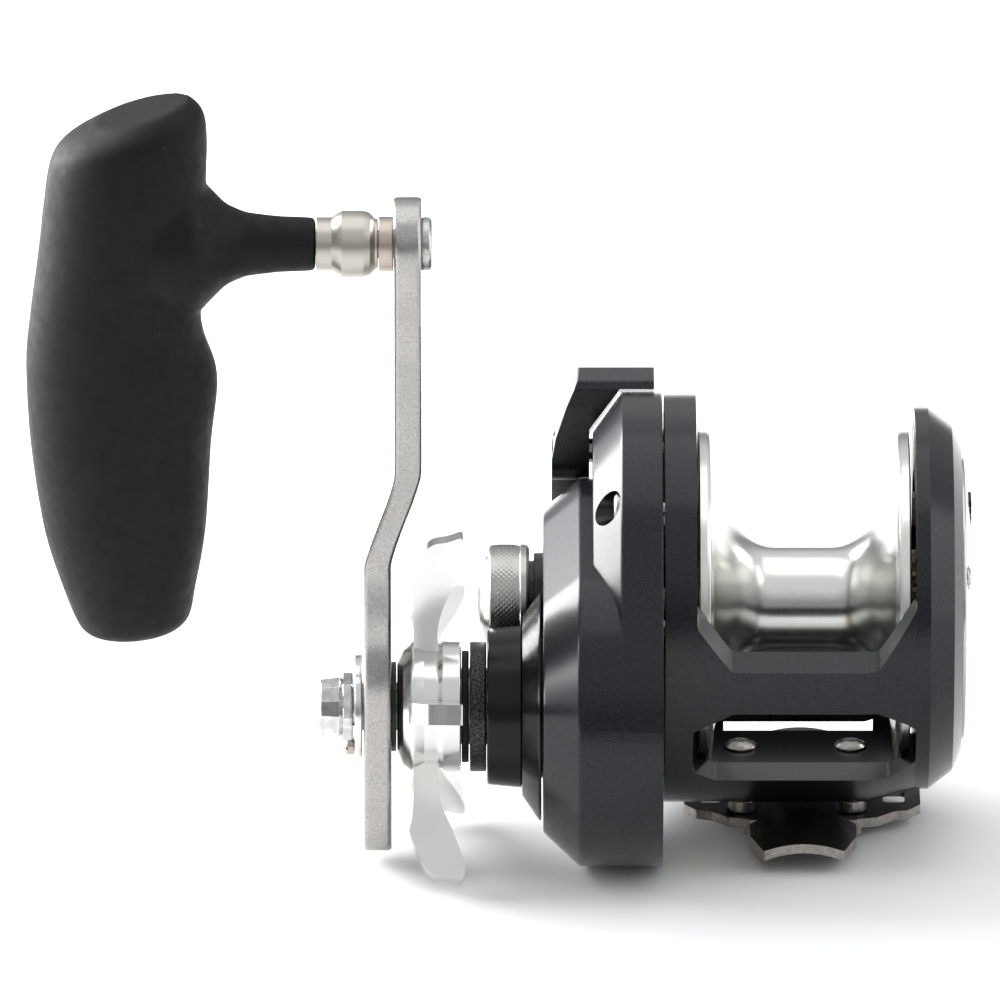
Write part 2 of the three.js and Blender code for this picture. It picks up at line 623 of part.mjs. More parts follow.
function armBody() {
  // Thickness outline in (X, Z) about the crank axis: two straight runs joined by a slanted one.
  const outer = -67.7;
  const inner = outer + ARM_JOG;
  const side = [
    [outer, ARM_LOW_END - 2], [outer, 24.8], [outer + 0.6, 27.5], [inner - 0.5, 37.0], [inner, 40.0],
    [inner, CRANK_LENGTH + 12], [inner + ARM_THICK, CRANK_LENGTH + 12], [inner + ARM_THICK, 38.8],
    [inner + ARM_THICK - 0.6, 35.6], [outer + ARM_THICK + 0.3, 27.4], [outer + ARM_THICK, 24.0],
    [outer + ARM_THICK, ARM_LOW_END - 2],
  ];
  const strip = alongY(side, -15, 15);
  // Front outline in (Y, Z): round ends, a broad hub and a slim waist.
  const face = new THREE.Shape();
  face.absarc(0, CRANK_LENGTH, 7.2, 0, Math.PI, false);
  face.bezierCurveTo(-6.6, 64, -5.4, 60, -5.4, 44);
  face.bezierCurveTo(-5.4, 24, -7.0, 12, -8.6, 4);
  face.bezierCurveTo(-9.2, -6, -8.4, -12, -7.4, -16);
  face.absarc(0, ARM_LOW_END + 7.4, 7.4, Math.PI, Math.PI * 2, false);
  face.bezierCurveTo(8.4, -12, 9.2, -6, 8.6, 4);
  face.bezierCurveTo(7.0, 12, 5.4, 24, 5.4, 44);
  face.bezierCurveTo(5.4, 60, 6.6, 64, 7.2, CRANK_LENGTH);
  const blank = alongX(face, -75, -50, undefined, 10);
  const holes = [rod(-80, -50, 4.0), rod(-80, -50, 2.6, at(0, 0, CRANK_LENGTH))];
  return cut(strip.intersect(blank), ...holes).translate([0, HANDLE_Y, HANDLE_Z]);
}

function handleNutBody() {
  const profile = [[-74.8, 0], [-74.8, 3.9], [-74.2, 4.5], [-71.4, 4.8], [-70.6, 4.0], [-70.6, 0]];
  const dome = turned(profile, aboutHandle, 12);
  const flatDown = aboutHandle.clone().multiply(new THREE.Matrix4().makeRotationX(Math.PI / 6));
  const hex = rod(-71.2, -69.4, 5.3, flatDown, 6);
  return cut(join(dome, hex), rod(-72.7, -60, 3.3, aboutHandle));
}

const LOCK_SCREW = at(0, HANDLE_Y, HANDLE_Z - 6.4);

function lockRingBody() {
  const ring = tube(-69.1, -68.0, 3.4, 8.0, aboutHandle);
  return cut(ring, rod(-71, -66, 1.2, LOCK_SCREW));
}

function lockScrewBody() {
  const profile = [[-70.6, 0], [-70.6, 1.2], [-69.4, 1.45], [-69.4, 0.9], [-68.2, 0.9], [-68.2, 0]];
  return turned(profile, LOCK_SCREW);
}

// ---------------------------------------------------------------- grip
// Loft stations of the T-bar, as [left x, left z, right x, right z, half thickness] about the grip axis.
const GRIP_STATIONS = [
  [-109.0, -63.3, -97.5, -62.6, 5.0],
  [-111.4, -61.6, -94.6, -60.4, 8.4],
  [-113.9, -55.4, -93.5, -55.4, 10.2],
  [-116.7, -46, -91.9, -46, 11.2],
  [-118.7, -32, -91.0, -32, 11.6],
  [-119.3, -19, -90.0, -21, 11.4],
  [-118.6, -11, -92.4, -12.5, 11.2],
  [-117.3, -1, -92.0, -1, 11.2],
  [-116.4, 7, -91.6, 10, 11.0],
  [-115.4, 13.4, -91.4, 17.5, 10.4],
  [-113.4, 16.6, -92.0, 21.4, 9.4],
  [-108.5, 19.6, -94.0, 23.6, 6.2],
];
const GRIP_SIDES = 22;
const STEM_END = -74.9;

function gripRing([leftX, leftZ, rightX, rightZ, half]) {
  const ring = [];
  for (let i = 0; i < GRIP_SIDES; i++) {
    const a = (2 * Math.PI * i) / GRIP_SIDES;
    const along = (1 - Math.cos(a)) / 2;
    ring.push(
      new THREE.Vector3(
        leftX + (rightX - leftX) * along,
        -half * Math.sin(a),
        leftZ + (rightZ - leftZ) * along,
      ),
    );
  }
  return ring;
}

function gripBody() {
  const bar = lofted(GRIP_STATIONS.map(gripRing));
  const stem = turned(
    [
      [-100, 0], [-100, 11.0], [-93.2, 11.0], [-90.8, 8.4], [-88.6, 6.2], [-85.6, 4.9], [-80.5, 4.3],
      [STEM_END, 4.1], [STEM_END, 0],
    ],
  );
  return cut(join(bar, stem), rod(-96.5, -70, 3.1)).translate([0, HANDLE_Y, HANDLE_Z + CRANK_LENGTH]);
}

const ferruleBody = () =>
  turned(
    [
      [-74.6, 2.9], [-74.6, 4.1], [-72.4, 4.1], [-71.7, 4.8], [-70.8, 5.1], [-67.9, 5.1], [-66.8, 4.8],
      [-66.1, 4.1], [-65.6, 4.1], [-65.6, 2.9],
    ],
    aboutGrip,
  );

const spindleBody = () =>
  turned(
    [
      [-96.0, 0], [-96.0, 1.8], [-65.6, 1.8], [-65.6, 2.2], [-58.4, 2.2], [-58.4, 4.1], [-57.2, 4.1],
      [-57.2, 1.6], [-58.2, 1.6], [-58.2, 0],
    ],
    aboutGrip,
  );

// ---------------------------------------------------------------- spool and shaft
// Radius of the spool's flare at a distance from the arbor's end, an ellipse quadrant.
function flare(x0, x1, r0, r1, steps) {
  const points = [];
  for (let i = 0; i <= steps; i++) {
    const a = (Math.PI / 2) * (i / steps);
    points.push([x0 + (x1 - x0) * Math.sin(a), r0 + (r1 - r0) * (1 - Math.cos(a))]);
  }
  return points;
}

function spoolBody() {
  const right = flare(4.4, 14.0, ARBOR_R, 24.4, 6);
  const inner = flare(6.0, 15.0, 6.2, 22.0, 3).reverse();
  const mirror = (points) => points.map(([x, r]) => [-x, r]).reverse();
  const rim = [[14.6, SPOOL_R], [SPOOL_HALF, SPOOL_R], [SPOOL_HALF, 23.2]];
  const hub = [[6.0, 4.6], [SPOOL_HALF, 4.6]];
  const half = [...right, ...rim, ...inner, ...hub];
  const bore = [[SPOOL_HALF, 2.7], [-SPOOL_HALF, 2.7]];
  return turned([...half, ...bore, ...mirror(half)]);
}

const PIN_X = -22.9; // cross pin that the pinion's slot takes hold of
const PIN_R = 0.5;

function spoolShaftBody() {
  const shaft = turned(
    [
      [-45.6, 0], [-45.6, SHAFT_R], [-17.2, SHAFT_R], [-17.2, 2.4], [18.2, 2.4], [18.2, 1.9],
      [22.3, 1.9], [22.3, 0],
    ],
  );
  const upright = at(PIN_X, 0, 0).multiply(new THREE.Matrix4().makeRotationX(Math.PI / 2));
  const crossPin = new THREE.CylinderGeometry(PIN_R, PIN_R, 6.4, 10);
  return shaft.add(solid(crossPin, upright));
}

function ratchetBody() {
  const teeth = 18;
  const points = [];
  for (let k = 0; k < teeth; k++) {
    const a = (2 * Math.PI * k) / teeth;
    const step = (2 * Math.PI) / teeth;
    points.push(polar(6.3, a), polar(7.5, a + step * 0.35), polar(7.5, a + step * 0.6));
  }
  return cut(alongX(points, 16.8, 18.1), rod(16, 19, 2.7));
}

// ---------------------------------------------------------------- tail
function tailCapBody() {
  const dome = turned(
    [[24.2, 0], [24.2, 21.8], [24.9, 21.5], [25.4, 17.5], [25.8, 13.0], [26.2, 7.0], [26.35, 0]],
  );
  const recess = block(25.0, 30, -2.7, 2.7, 7.8, 17.1);
  const slot = block(20, 30, -1.3, 1.3, SLOT_Z[0], SLOT_Z[1]);
  const screws = TAIL_SCREW_ANGLES.flatMap((a) => [
    rod(20, 30, 1.1, atPolar(TAIL_SCREW_R, a)),
    rod(24.9, 30, 1.9, atPolar(TAIL_SCREW_R, a)),
  ]);
  return cut(dome, recess, slot, ...screws);
}

const tailScrewBody = (a) =>
  turned(
    [[21.2, 0], [21.2, 0.8], [25.2, 0.8], [25.2, 1.6], [25.9, 1.4], [25.9, 0]],
    atPolar(TAIL_SCREW_R, a),
  );

function clickPawlBody() {
  const tongue = alongX([[-1.6, 17], [-1.6, 13.4], [0, 12.0], [1.6, 13.4], [1.6, 17]], 16.9, 18.0);
  return tongue.add(block(17.5, 25.0, -0.9, 0.9, 13.4, 15.5));
}

// ---------------------------------------------------------------- cast control
function castKnobBody() {
  const outside = turned(
    [
      [-50.3, 0], [-50.2, 2.6], [-49.8, 4.8], [-49.2, 6.4], [-48.6, 7.2], [-48.3, 8.3], [-42.6, 8.3],
      [-42.3, 7.9],
      [-42.3, 0],
    ],
  );
  return cut(outside, rod(-47.3, -40, 6.1));
}

// ---------------------------------------------------------------- put the pieces in place
function buildHousing() {
  place("frame", frameBody(), "housing");
  place("reel_foot", footBody(), "footBlack");
  let rivet = 1;
  for (const x of RIVET_X) {
    for (const y of [-RIVET_Y, RIVET_Y]) place(`foot_rivet_${rivet++}`, rivetBody(x, y), "nickel");
  }
  place("handle_side_plate", sidePlateBody(), "housing");
  PLATE_SCREW_ANGLES.forEach((a, i) => {
    const profile = [[-29.3, 0], [-29.3, 2.1], [-27.7, 2.4], [-27.7, 0.9], [-18.0, 0.9], [-18.0, 0]];
    place(`plate_screw_${i + 1}`, turned(profile, atPolar(PLATE_SCREW_R, a)), "steel");
  });
  place("bridge_plate", bridgePlateBody(), "brass");
  BRIDGE_SCREWS.forEach(([y, z], i) => {
    const profile = [[-28.2, 0], [-28.2, 1.0], [-21.5, 1.0], [-21.5, 2.2], [-20.4, 2.0], [-20.4, 0]];
    place(`bridge_screw_${i + 1}`, turned(profile, at(0, y, z)), "steel");
  });
  place("ratio_ring", ratioRingBody(), "gloss");
  place("clutch_housing", clutchHousingBody(), "gloss");
  place("clutch_cap", tube(-51.5, -49.1, 6.4, 10.0, aboutHandle), "speckled");
  place("clutch_seal", tube(-52.7, -51.8, 6.4, 8.6, aboutHandle), "rubber");
  place("anti_reverse_bearing", tube(-47.9, -38.2, 6.2, 9.5, aboutHandle), "steel");
  place("gear_post_bearing", tube(-23.8, -21.9, 3.3, 6.0, aboutHandle), "steel");
}

function buildCrank() {
  place("gear_sleeve", gearSleeveBody(), "steel");
  place("handle_arm", armBody(), "blasted");
  place("handle_nut", handleNutBody(), "chrome");
  place("nut_lock_ring", lockRingBody(), "polished");
  place("nut_lock_screw", lockScrewBody(), "bronze");
  place("arm_washer", tube(-63.2, -62.9, 4.0, 6.9, aboutHandle), "footBlack");
  place("knob_spindle", spindleBody(), "steel");
  place("knob_washer", tube(-65.3, -63.3, 2.5, 4.2, aboutGrip), "bronze");
  place("knob_grip", gripBody(), "rubber");
  place("knob_ferrule", ferruleBody(), "nickel");
  place("knob_bearing_inner", tube(-72.5, -69.5, 2.1, 2.6, aboutGrip), "steel");
  place("knob_bearing_outer", tube(-95.0, -92.0, 2.1, 2.8, aboutGrip), "steel");
}

function buildDrag() {
  place("star_wheel", starBody(), "polished");
  place("drag_spacer", tube(-53.6, -32.4, 4.9, 5.9, aboutHandle), "steel");
  place("pressure_plate", tube(-31.1, -30.4, 4.9, 13.5, aboutHandle), "steel");
  place("drag_washer_outer", tube(-30.1, -29.3, 5.0, 13.9, aboutHandle), "carbon");
  place("drag_washer_inner", tube(-26.2, -25.4, 5.0, 10.0, aboutHandle), "carbon");
  place("drive_gear", driveGearBody(), "brass");
}

function buildSpoolDrive() {
  place("pinion", pinionBody(), "brass");
  place("pinion_yoke", yokeBody(), "steel");
  place("spool", spoolBody(), "polished");
  place("spool_shaft", spoolShaftBody(), "steel");
  place("click_ratchet", ratchetBody(), "brass");
  place("spool_bearing_left", tube(-40.6, -38.0, 2.0, 4.7), "steel");
  place("spool_bearing_right", tube(19.0, 21.9, 2.2, 4.7), "steel");
}

function buildControls() {
  place("clutch_lever", leverBody(), "housing");
  place("lever_cam", leverCamBody(), "steel");
  const screw = [[-38.6, 0], [-38.6, 2.2], [-37.3, 2.6], [-37.3, 1.0], [-36.0, 1.0], [-36.0, 0]];
  place("lever_screw", turned(screw, at(0, LEVER_Y, LEVER_Z)), "steel");
  place("cast_control_knob", castKnobBody(), "polished");
  place("cast_control_shim", rod(-46.9, -46.3, 4.0), "carbon");
}

function buildTail() {
  place("tail_cap", tailCapBody(), "polished");
  TAIL_SCREW_ANGLES.forEach((a, i) => place(`tail_screw_${i + 1}`, tailScrewBody(a), "steel"));
  place("click_button", block(25.3, 26.8, -2.3, 2.3, 12.2, 16.7), "gloss");
  place("click_pawl", clickPawlBody(), "steel");
}

buildHousing();
buildCrank();
buildDrag();
buildSpoolDrive();
buildControls();
buildTail();

export default reel;
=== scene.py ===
"""Looks of the star-drag trolling reel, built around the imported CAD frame.

Lengths are in millimetres about the spool axis until place() turns them into metres in the row frame.
X runs from the crank to the tail, Y to the back and Z up, as in the frame.
"""
import json
import math

import bmesh
import bpy
from mathutils import Matrix, Vector


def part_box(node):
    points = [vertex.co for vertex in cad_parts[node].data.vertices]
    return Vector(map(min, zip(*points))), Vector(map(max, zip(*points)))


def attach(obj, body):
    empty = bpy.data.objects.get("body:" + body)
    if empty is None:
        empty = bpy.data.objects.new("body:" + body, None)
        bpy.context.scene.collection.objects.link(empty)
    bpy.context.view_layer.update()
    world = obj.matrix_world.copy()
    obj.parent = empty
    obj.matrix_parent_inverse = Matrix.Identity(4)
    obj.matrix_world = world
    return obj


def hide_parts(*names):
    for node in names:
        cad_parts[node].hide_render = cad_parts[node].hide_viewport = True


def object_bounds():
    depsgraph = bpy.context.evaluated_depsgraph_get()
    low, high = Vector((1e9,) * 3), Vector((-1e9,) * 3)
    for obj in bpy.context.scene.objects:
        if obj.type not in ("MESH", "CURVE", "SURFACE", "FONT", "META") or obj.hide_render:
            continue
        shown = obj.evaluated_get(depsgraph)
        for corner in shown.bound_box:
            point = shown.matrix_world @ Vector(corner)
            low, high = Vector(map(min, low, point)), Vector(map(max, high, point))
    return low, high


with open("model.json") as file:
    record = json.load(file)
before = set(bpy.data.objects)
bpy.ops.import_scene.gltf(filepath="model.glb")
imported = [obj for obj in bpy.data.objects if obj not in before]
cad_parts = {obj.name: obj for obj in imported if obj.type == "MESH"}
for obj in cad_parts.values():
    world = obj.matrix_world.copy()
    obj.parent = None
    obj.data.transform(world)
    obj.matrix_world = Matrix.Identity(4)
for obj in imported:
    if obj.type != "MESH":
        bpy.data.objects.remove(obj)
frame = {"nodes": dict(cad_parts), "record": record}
CAD_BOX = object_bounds()

# ---------------------------------------------------------------- places taken from the frame
MM = 0.001


def middle(node):
    low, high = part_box(node)
    return (low + high) / (2 * MM)


def extent(node):
    low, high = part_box(node)
    return low / MM, high / MM


AXIS_Z = middle("spool").z  # height of the spool axis
CRANK = Vector((0, middle("clutch_seal").y, middle("clutch_seal").z - AXIS_Z))
GRIP = Vector((0, middle("knob_washer").y, middle("knob_washer").z - AXIS_Z))
LEVER = Vector((0, middle("lever_screw").y, middle("lever_screw").z - AXIS_Z))
CRANK_LENGTH = GRIP.z - CRANK.z
CRANK_OFFSET = math.hypot(CRANK.y, CRANK.z)
CRANK_ANGLE = math.atan2(CRANK.z, CRANK.y)
AXIS = Vector((0, 0, 0))
FINE = 128  # sides of large round pieces
MEDIUM = 72
SMALL = 32


def rounded(points, radius, steps=4, closed=True):
    """The outline with each corner turned into a short curve. A point may carry its own radius."""
    out = []
    count = len(points)
    for i, point in enumerate(points):
        here = Vector(point[:2])
        if not closed and i in (0, count - 1):
            out.append(tuple(here))
            continue
        size = point[2] if len(point) > 2 else radius
        before = Vector(points[i - 1][:2]) - here
        after = Vector(points[(i + 1) % count][:2]) - here
        if size <= 0 or before.length < 1e-6 or after.length < 1e-6:
            out.append(tuple(here))
            continue
        half = before.angle(after) / 2
        reach = min(size / max(math.tan(half), 0.15), 0.45 * before.length, 0.45 * after.length)
        start = here + before.normalized() * reach
        end = here + after.normalized() * reach
        for k in range(steps + 1):
            t = k / steps
            out.append(tuple(start * (1 - t) ** 2 + here * 2 * t * (1 - t) + end * t * t))
    return out


def new_object(name, bm):
    bmesh.ops.remove_doubles(bm, verts=bm.verts, dist=1e-4)
    bmesh.ops.recalc_face_normals(bm, faces=bm.faces)
    if bm.calc_volume(signed=True) < 0:
        bmesh.ops.reverse_faces(bm, faces=bm.faces)
    mesh = bpy.data.meshes.new(name)
    bm.to_mesh(mesh)
    bm.free()
    obj = bpy.data.objects.new(name, mesh)
    bpy.context.scene.collection.objects.link(obj)
    return obj


def skin(name, rings, cyclic=False):
    """Faces through rings of points of equal count. Ends are closed with a face unless cyclic."""
    bm = bmesh.new()
    rows = [[bm.verts.new(p) for p in ring] for ring in rings]
    count = len(rows[0])
    pairs = list(zip(rows, rows[1:]))
    if cyclic:
        pairs.append((rows[-1], rows[0]))
    for a, b in pairs:
        for i in range(count):
            j = (i + 1) % count
            bm.faces.new((a[i], a[j], b[j], b[i]))
    if not cyclic:
        bm.faces.new(rows[0])
        bm.faces.new(rows[-1])
    return new_object(name, bm)


def circle(x, radius, sides, centre=AXIS, phase=0.0):
    points = []
    for i in range(sides):
        a = 2 * math.pi * i / sides + phase
        points.append((x, centre.y + radius * math.cos(a), centre.z + radius * math.sin(a)))
    return points


def turned(name, profile, centre=AXIS, sides=MEDIUM, fillet=0.0, phase=0.0):
    """Solid turned about the X axis through centre. A profile that starts and ends on the axis is solid,
    any other closes on itself."""
    on_axis = profile[0][1] == 0 and profile[-1][1] == 0
    points = rounded(profile, fillet, closed=not on_axis) if fillet else [p[:2] for p in profile]
    if on_axis:
        points = points[1:-1]
    rings = [circle(x, r, sides, centre, phase) for x, r in points]
    return skin(name, rings, cyclic=not on_axis)


def rod(name, x0, x1, radius, centre=AXIS, sides=SMALL, fillet=0.0, phase=0.0):
    return turned(name, [(x0, 0), (x0, radius), (x1, radius), (x1, 0)], centre, sides, fillet, phase)


def ring(name, x0, x1, inner, outer, centre=AXIS, sides=MEDIUM, fillet=0.25):
    return turned(name, [(x0, inner), (x0, outer), (x1, outer), (x1, inner)], centre, sides, fillet)


def prism(name, outline, low, high, axis="X"):
    """An outline extruded along an axis: (Y, Z) along X, (X, Z) along Y, or (X, Y) along Z."""
    lift = {
        "X": lambda p, d: (d, p[0], p[1]),
        "Y": lambda p, d: (p[0], d, p[1]),
        "Z": lambda p, d: (p[0], p[1], d),
    }[axis]
    return skin(name, [[lift(p, d) for p in outline] for d in (low, high)])


def block(name, low, high):
    outline = [(low[0], low[2]), (high[0], low[2]), (high[0], high[2]), (low[0], high[2])]
    return prism(name, outline, low[1], high[1], "Y")


def arc(centre, radius, start, end, steps=16):
    """Points on an arc, with angles in degrees."""
    points = []
    for i in range(steps + 1):
        a = math.radians(start + (end - start) * i / steps)
        points.append((centre[0] + radius * math.cos(a), centre[1] + radius * math.sin(a)))
    return points


def bezier(p0, p1, p2, p3, steps=12):
    points = []
    for i in range(1, steps + 1):
        t = i / steps
        s = 1 - t
        weights = (s**3, 3 * s * s * t, 3 * s * t * t, t**3)
        points.append(tuple(sum(w * p[k] for w, p in zip(weights, (p0, p1, p2, p3))) for k in (0, 1)))
    return points


def settle(obj):
    """Applies the object's modifiers to its mesh."""
    graph = bpy.context.evaluated_depsgraph_get()
    mesh = bpy.data.meshes.new_from_object(obj.evaluated_get(graph))
    obj.modifiers.clear()
    obj.data = mesh
    return obj


def combine(base, tools, operation):
    for tool in tools:
        step = base.modifiers.new("boolean", "BOOLEAN")
        step.operation = operation
        step.solver = "EXACT"
        step.object = tool
    settle(base)
    for tool in tools:
        bpy.data.objects.remove(tool)
    return base


def cut(base, *tools):
    return combine(base, tools, "DIFFERENCE")


def join(base, *tools):
    return combine(base, tools, "UNION")


def keep(base, *tools):
    return combine(base, tools, "INTERSECT")


def bevelled(obj, width, segments=3, angle=28):
    """Rounds the sharp edges of a finished mesh."""
    bm = bmesh.new()
    bm.from_mesh(obj.data)
    bmesh.ops.remove_doubles(bm, verts=bm.verts, dist=0.02)
    bmesh.ops.dissolve_degenerate(bm, edges=bm.edges, dist=0.01)
    bmesh.ops.dissolve_limit(bm, angle_limit=math.radians(0.5), verts=bm.verts, edges=bm.edges)
    bm.to_mesh(obj.data)
    bm.free()
    step = obj.modifiers.new("bevel", "BEVEL")
    step.width = width
    step.segments = segments
    step.limit_method = "ANGLE"
    step.angle_limit = math.radians(angle)
    step.use_clamp_overlap = True
    step.miter_outer = "MITER_ARC"
    return settle(obj)


def place(obj, body, slot, finish, *nodes, sharp=38):
    obj.data.transform(Matrix.Scale(MM, 4) @ Matrix.Translation((0, 0, AXIS_Z)))
    obj.data.materials.clear()
    obj.data.materials.append(finish)
    for face in obj.data.polygons:
        face.use_smooth = True
    obj.data.set_sharp_from_angle(angle=math.radians(sharp))
    weigh = obj.modifiers.new("normals", "WEIGHTED_NORMAL")
    weigh.keep_sharp = True
    weigh.weight = 50
    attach(obj, body)
    if nodes:
        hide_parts(*nodes)
    return obj


# ---------------------------------------------------------------- materials
class Finish:
    """A procedural material. Texture sizes are given in millimetres."""

    def __init__(self, name, colour, roughness, metallic):
        self.material = bpy.data.materials.new(name)
        self.material.use_nodes = True
        self.tree = self.material.node_tree
        self.shader = self.tree.nodes["Principled BSDF"]
        self.shader.inputs["Base Color"].default_value = (*colour, 1)
        self.shader.inputs["Roughness"].default_value = roughness
        self.shader.inputs["Metallic"].default_value = metallic
        self.place = self.add("ShaderNodeTexCoord").outputs["Object"]
        self.bump = None

    def add(self, kind, **settings):
        node = self.tree.nodes.new(kind)
        for key, value in settings.items():
            setattr(node, key, value)
        return node

    def link(self, source, target):
        self.tree.links.new(source, target)

    def noise(self, size, detail=2.0):
        node = self.add("ShaderNodeTexNoise")
        node.inputs["Scale"].default_value = 1 / (size * MM)
        node.inputs["Detail"].default_value = detail
        self.link(self.place, node.inputs["Vector"])
        return node.outputs["Fac"]

    def turning(self, size, centre):
        """Lathe marks: a value that changes with the distance from an axis along X and with X."""
        shift = self.add("ShaderNodeVectorMath", operation="SUBTRACT")
        shift.inputs[1].default_value = (0, centre.y * MM, (centre.z + AXIS_Z) * MM)
        self.link(self.place, shift.inputs[0])
        parts = self.add("ShaderNodeSeparateXYZ")
        self.link(shift.outputs[0], parts.inputs[0])
        flat = self.add("ShaderNodeCombineXYZ")
        self.link(parts.outputs["Y"], flat.inputs["Y"])
        self.link(parts.outputs["Z"], flat.inputs["Z"])
        radius = self.add("ShaderNodeVectorMath", operation="LENGTH")
        self.link(flat.outputs[0], radius.inputs[0])
        line = self.add("ShaderNodeCombineXYZ")
        self.link(parts.outputs["X"], line.inputs["X"])
        self.link(radius.outputs["Value"], line.inputs["Y"])
        node = self.add("ShaderNodeTexNoise")
        node.inputs["Scale"].default_value = 1 / (size * MM)
        node.inputs["Detail"].default_value = 3
        self.link(line.outputs[0], node.inputs["Vector"])
        return node.outputs["Fac"]

    def spread(self, value, low, high, from_low=0.3, from_high=0.7):
        node = self.add("ShaderNodeMapRange")
        node.inputs["From Min"].default_value = from_low
        node.inputs["From Max"].default_value = from_high
        node.inputs["To Min"].default_value = low
        node.inputs["To Max"].default_value = high
        self.link(value, node.inputs["Value"])
        return node.outputs["Result"]

    def rough(self, value, low, high):
        self.link(self.spread(value, low, high), self.shader.inputs["Roughness"])

    def tint(self, value, dark, light, from_low=0.35, from_high=0.65):
        ramp = self.add("ShaderNodeValToRGB")
        ramp.color_ramp.elements[0].position = from_low
        ramp.color_ramp.elements[1].position = from_high
        ramp.color_ramp.elements[0].color = (*dark, 1)
        ramp.color_ramp.elements[1].color = (*light, 1)
        self.link(value, ramp.inputs["Fac"])
        self.link(ramp.outputs["Color"], self.shader.inputs["Base Color"])
        return ramp.outputs["Color"]

    def relief(self, value, height, strength=1.0):
        """Adds a bump of a height in millimetres."""
        node = self.add("ShaderNodeBump")
        node.inputs["Distance"].default_value = height * MM
        node.inputs["Strength"].default_value = strength
        self.link(value, node.inputs["Height"])
        if self.bump:
            self.link(self.bump, node.inputs["Normal"])
        self.bump = node.outputs["Normal"]
        self.link(self.bump, self.shader.inputs["Normal"])

    def coat(self, weight, roughness):
        self.shader.inputs["Coat Weight"].default_value = weight
        self.shader.inputs["Coat Roughness"].default_value = roughness


def housing_finish():
    """Charcoal metallic paint: fine flake under a clear coat."""
    f = Finish("charcoal_metallic", (0.012, 0.014, 0.017), 0.36, 0.6)
    flake = f.noise(0.16, 1.0)
    f.tint(flake, (0.002, 0.0024, 0.003), (0.022, 0.026, 0.032), 0.36, 0.72)
    f.rough(f.noise(0.3, 2.0), 0.32, 0.46)
    f.relief(flake, 0.003, 0.3)
    f.shader.inputs["Specular IOR Level"].default_value = 0.1
    f.coat(1.0, 0.2)
    f.shader.inputs["Coat IOR"].default_value = 1.33
    return f.material


def gloss_finish():
    f = Finish("gloss_black", (0.006, 0.006, 0.007), 0.14, 0.0)
    f.rough(f.noise(1.2, 3.0), 0.14, 0.24)
    f.shader.inputs["Specular IOR Level"].default_value = 0.2
    return f.material


def speckled_finish():
    """Dark ring with a coarse metallic speckle."""
    f = Finish("speckled_gunmetal", (0.02, 0.02, 0.022), 0.38, 0.7)
    grain = f.noise(0.28, 2.0)
    f.tint(grain, (0.008, 0.008, 0.009), (0.08, 0.08, 0.08), 0.42, 0.72)
    f.relief(grain, 0.003, 0.5)
    return f.material


def soft_finish():
    """Soft black moulding: matte, faintly mottled, with a few pale specks of dust."""
    f = Finish("soft_black", (0.01, 0.01, 0.011), 0.6, 0.0)
    f.shader.inputs["Specular IOR Level"].default_value = 0.2
    mottle = f.noise(6.0, 4.0)
    dust = f.add("ShaderNodeTexVoronoi")
    dust.inputs["Scale"].default_value = 1 / (4.5 * MM)
    f.link(f.place, dust.inputs["Vector"])
    speck = f.spread(dust.outputs["Distance"], 1.0, 0.0, 0.02, 0.035)
    base = f.add("ShaderNodeMix", data_type="RGBA")
    base.inputs["A"].default_value = (0.003, 0.003, 0.0033, 1)
    base.inputs["B"].default_value = (0.006, 0.006, 0.0066, 1)
    f.link(mottle, base.inputs["Factor"])
    dusty = f.add("ShaderNodeMix", data_type="RGBA")
    dusty.inputs["B"].default_value = (0.05, 0.05, 0.05, 1)
    f.link(base.outputs["Result"], dusty.inputs["A"])
    f.link(speck, dusty.inputs["Factor"])
    f.link(dusty.outputs["Result"], f.shader.inputs["Base Color"])
    f.rough(f.noise(2.0, 3.0), 0.5, 0.66)
    f.relief(f.noise(0.18, 2.0), 0.012, 0.5)
    return f.material


def polished_finish(name, centre, colour=(0.83, 0.83, 0.81), low=0.12, high=0.22, marks=0.0003):
    """Turned and polished aluminium with faint lathe marks about an axis."""
    f = Finish(name, colour, 0.18, 1.0)
    lines = f.turning(0.22, centre)
    f.rough(lines, low, high)
    f.relief(lines, marks, 0.5)
    f.tint(f.noise(5.0, 3.0), tuple(c * 0.94 for c in colour), colour, 0.3, 0.7)
    return f.material


def blasted_finish(name, colour, low, high, grain, height, metallic=1.0):
    """Bead-blasted or brushed metal with an even fine grain."""
    f = Finish(name, colour, 0.35, metallic)
    fine = f.noise(grain, 3.0)
    f.rough(f.noise(2.2, 3.0), low, high)
    f.tint(fine, tuple(c * 0.7 for c in colour), colour, 0.35, 0.65)
    f.relief(fine, height, 0.7)
    return f.material


def carbon_finish():
    """Woven drag washer material."""
    f = Finish("drag_fibre", (0.03, 0.03, 0.03), 0.7, 0.0)
    weave = f.add("ShaderNodeTexChecker")
    weave.inputs["Scale"].default_value = 1 / (0.8 * MM)
    weave.inputs["Color1"].default_value = (0.02, 0.02, 0.02, 1)
    weave.inputs["Color2"].default_value = (0.06, 0.06, 0.06, 1)
    f.link(f.place, weave.inputs["Vector"])
    f.link(weave.outputs["Color"], f.shader.inputs["Base Color"])
    f.relief(f.noise(0.3, 3.0), 0.03)
    return f.material


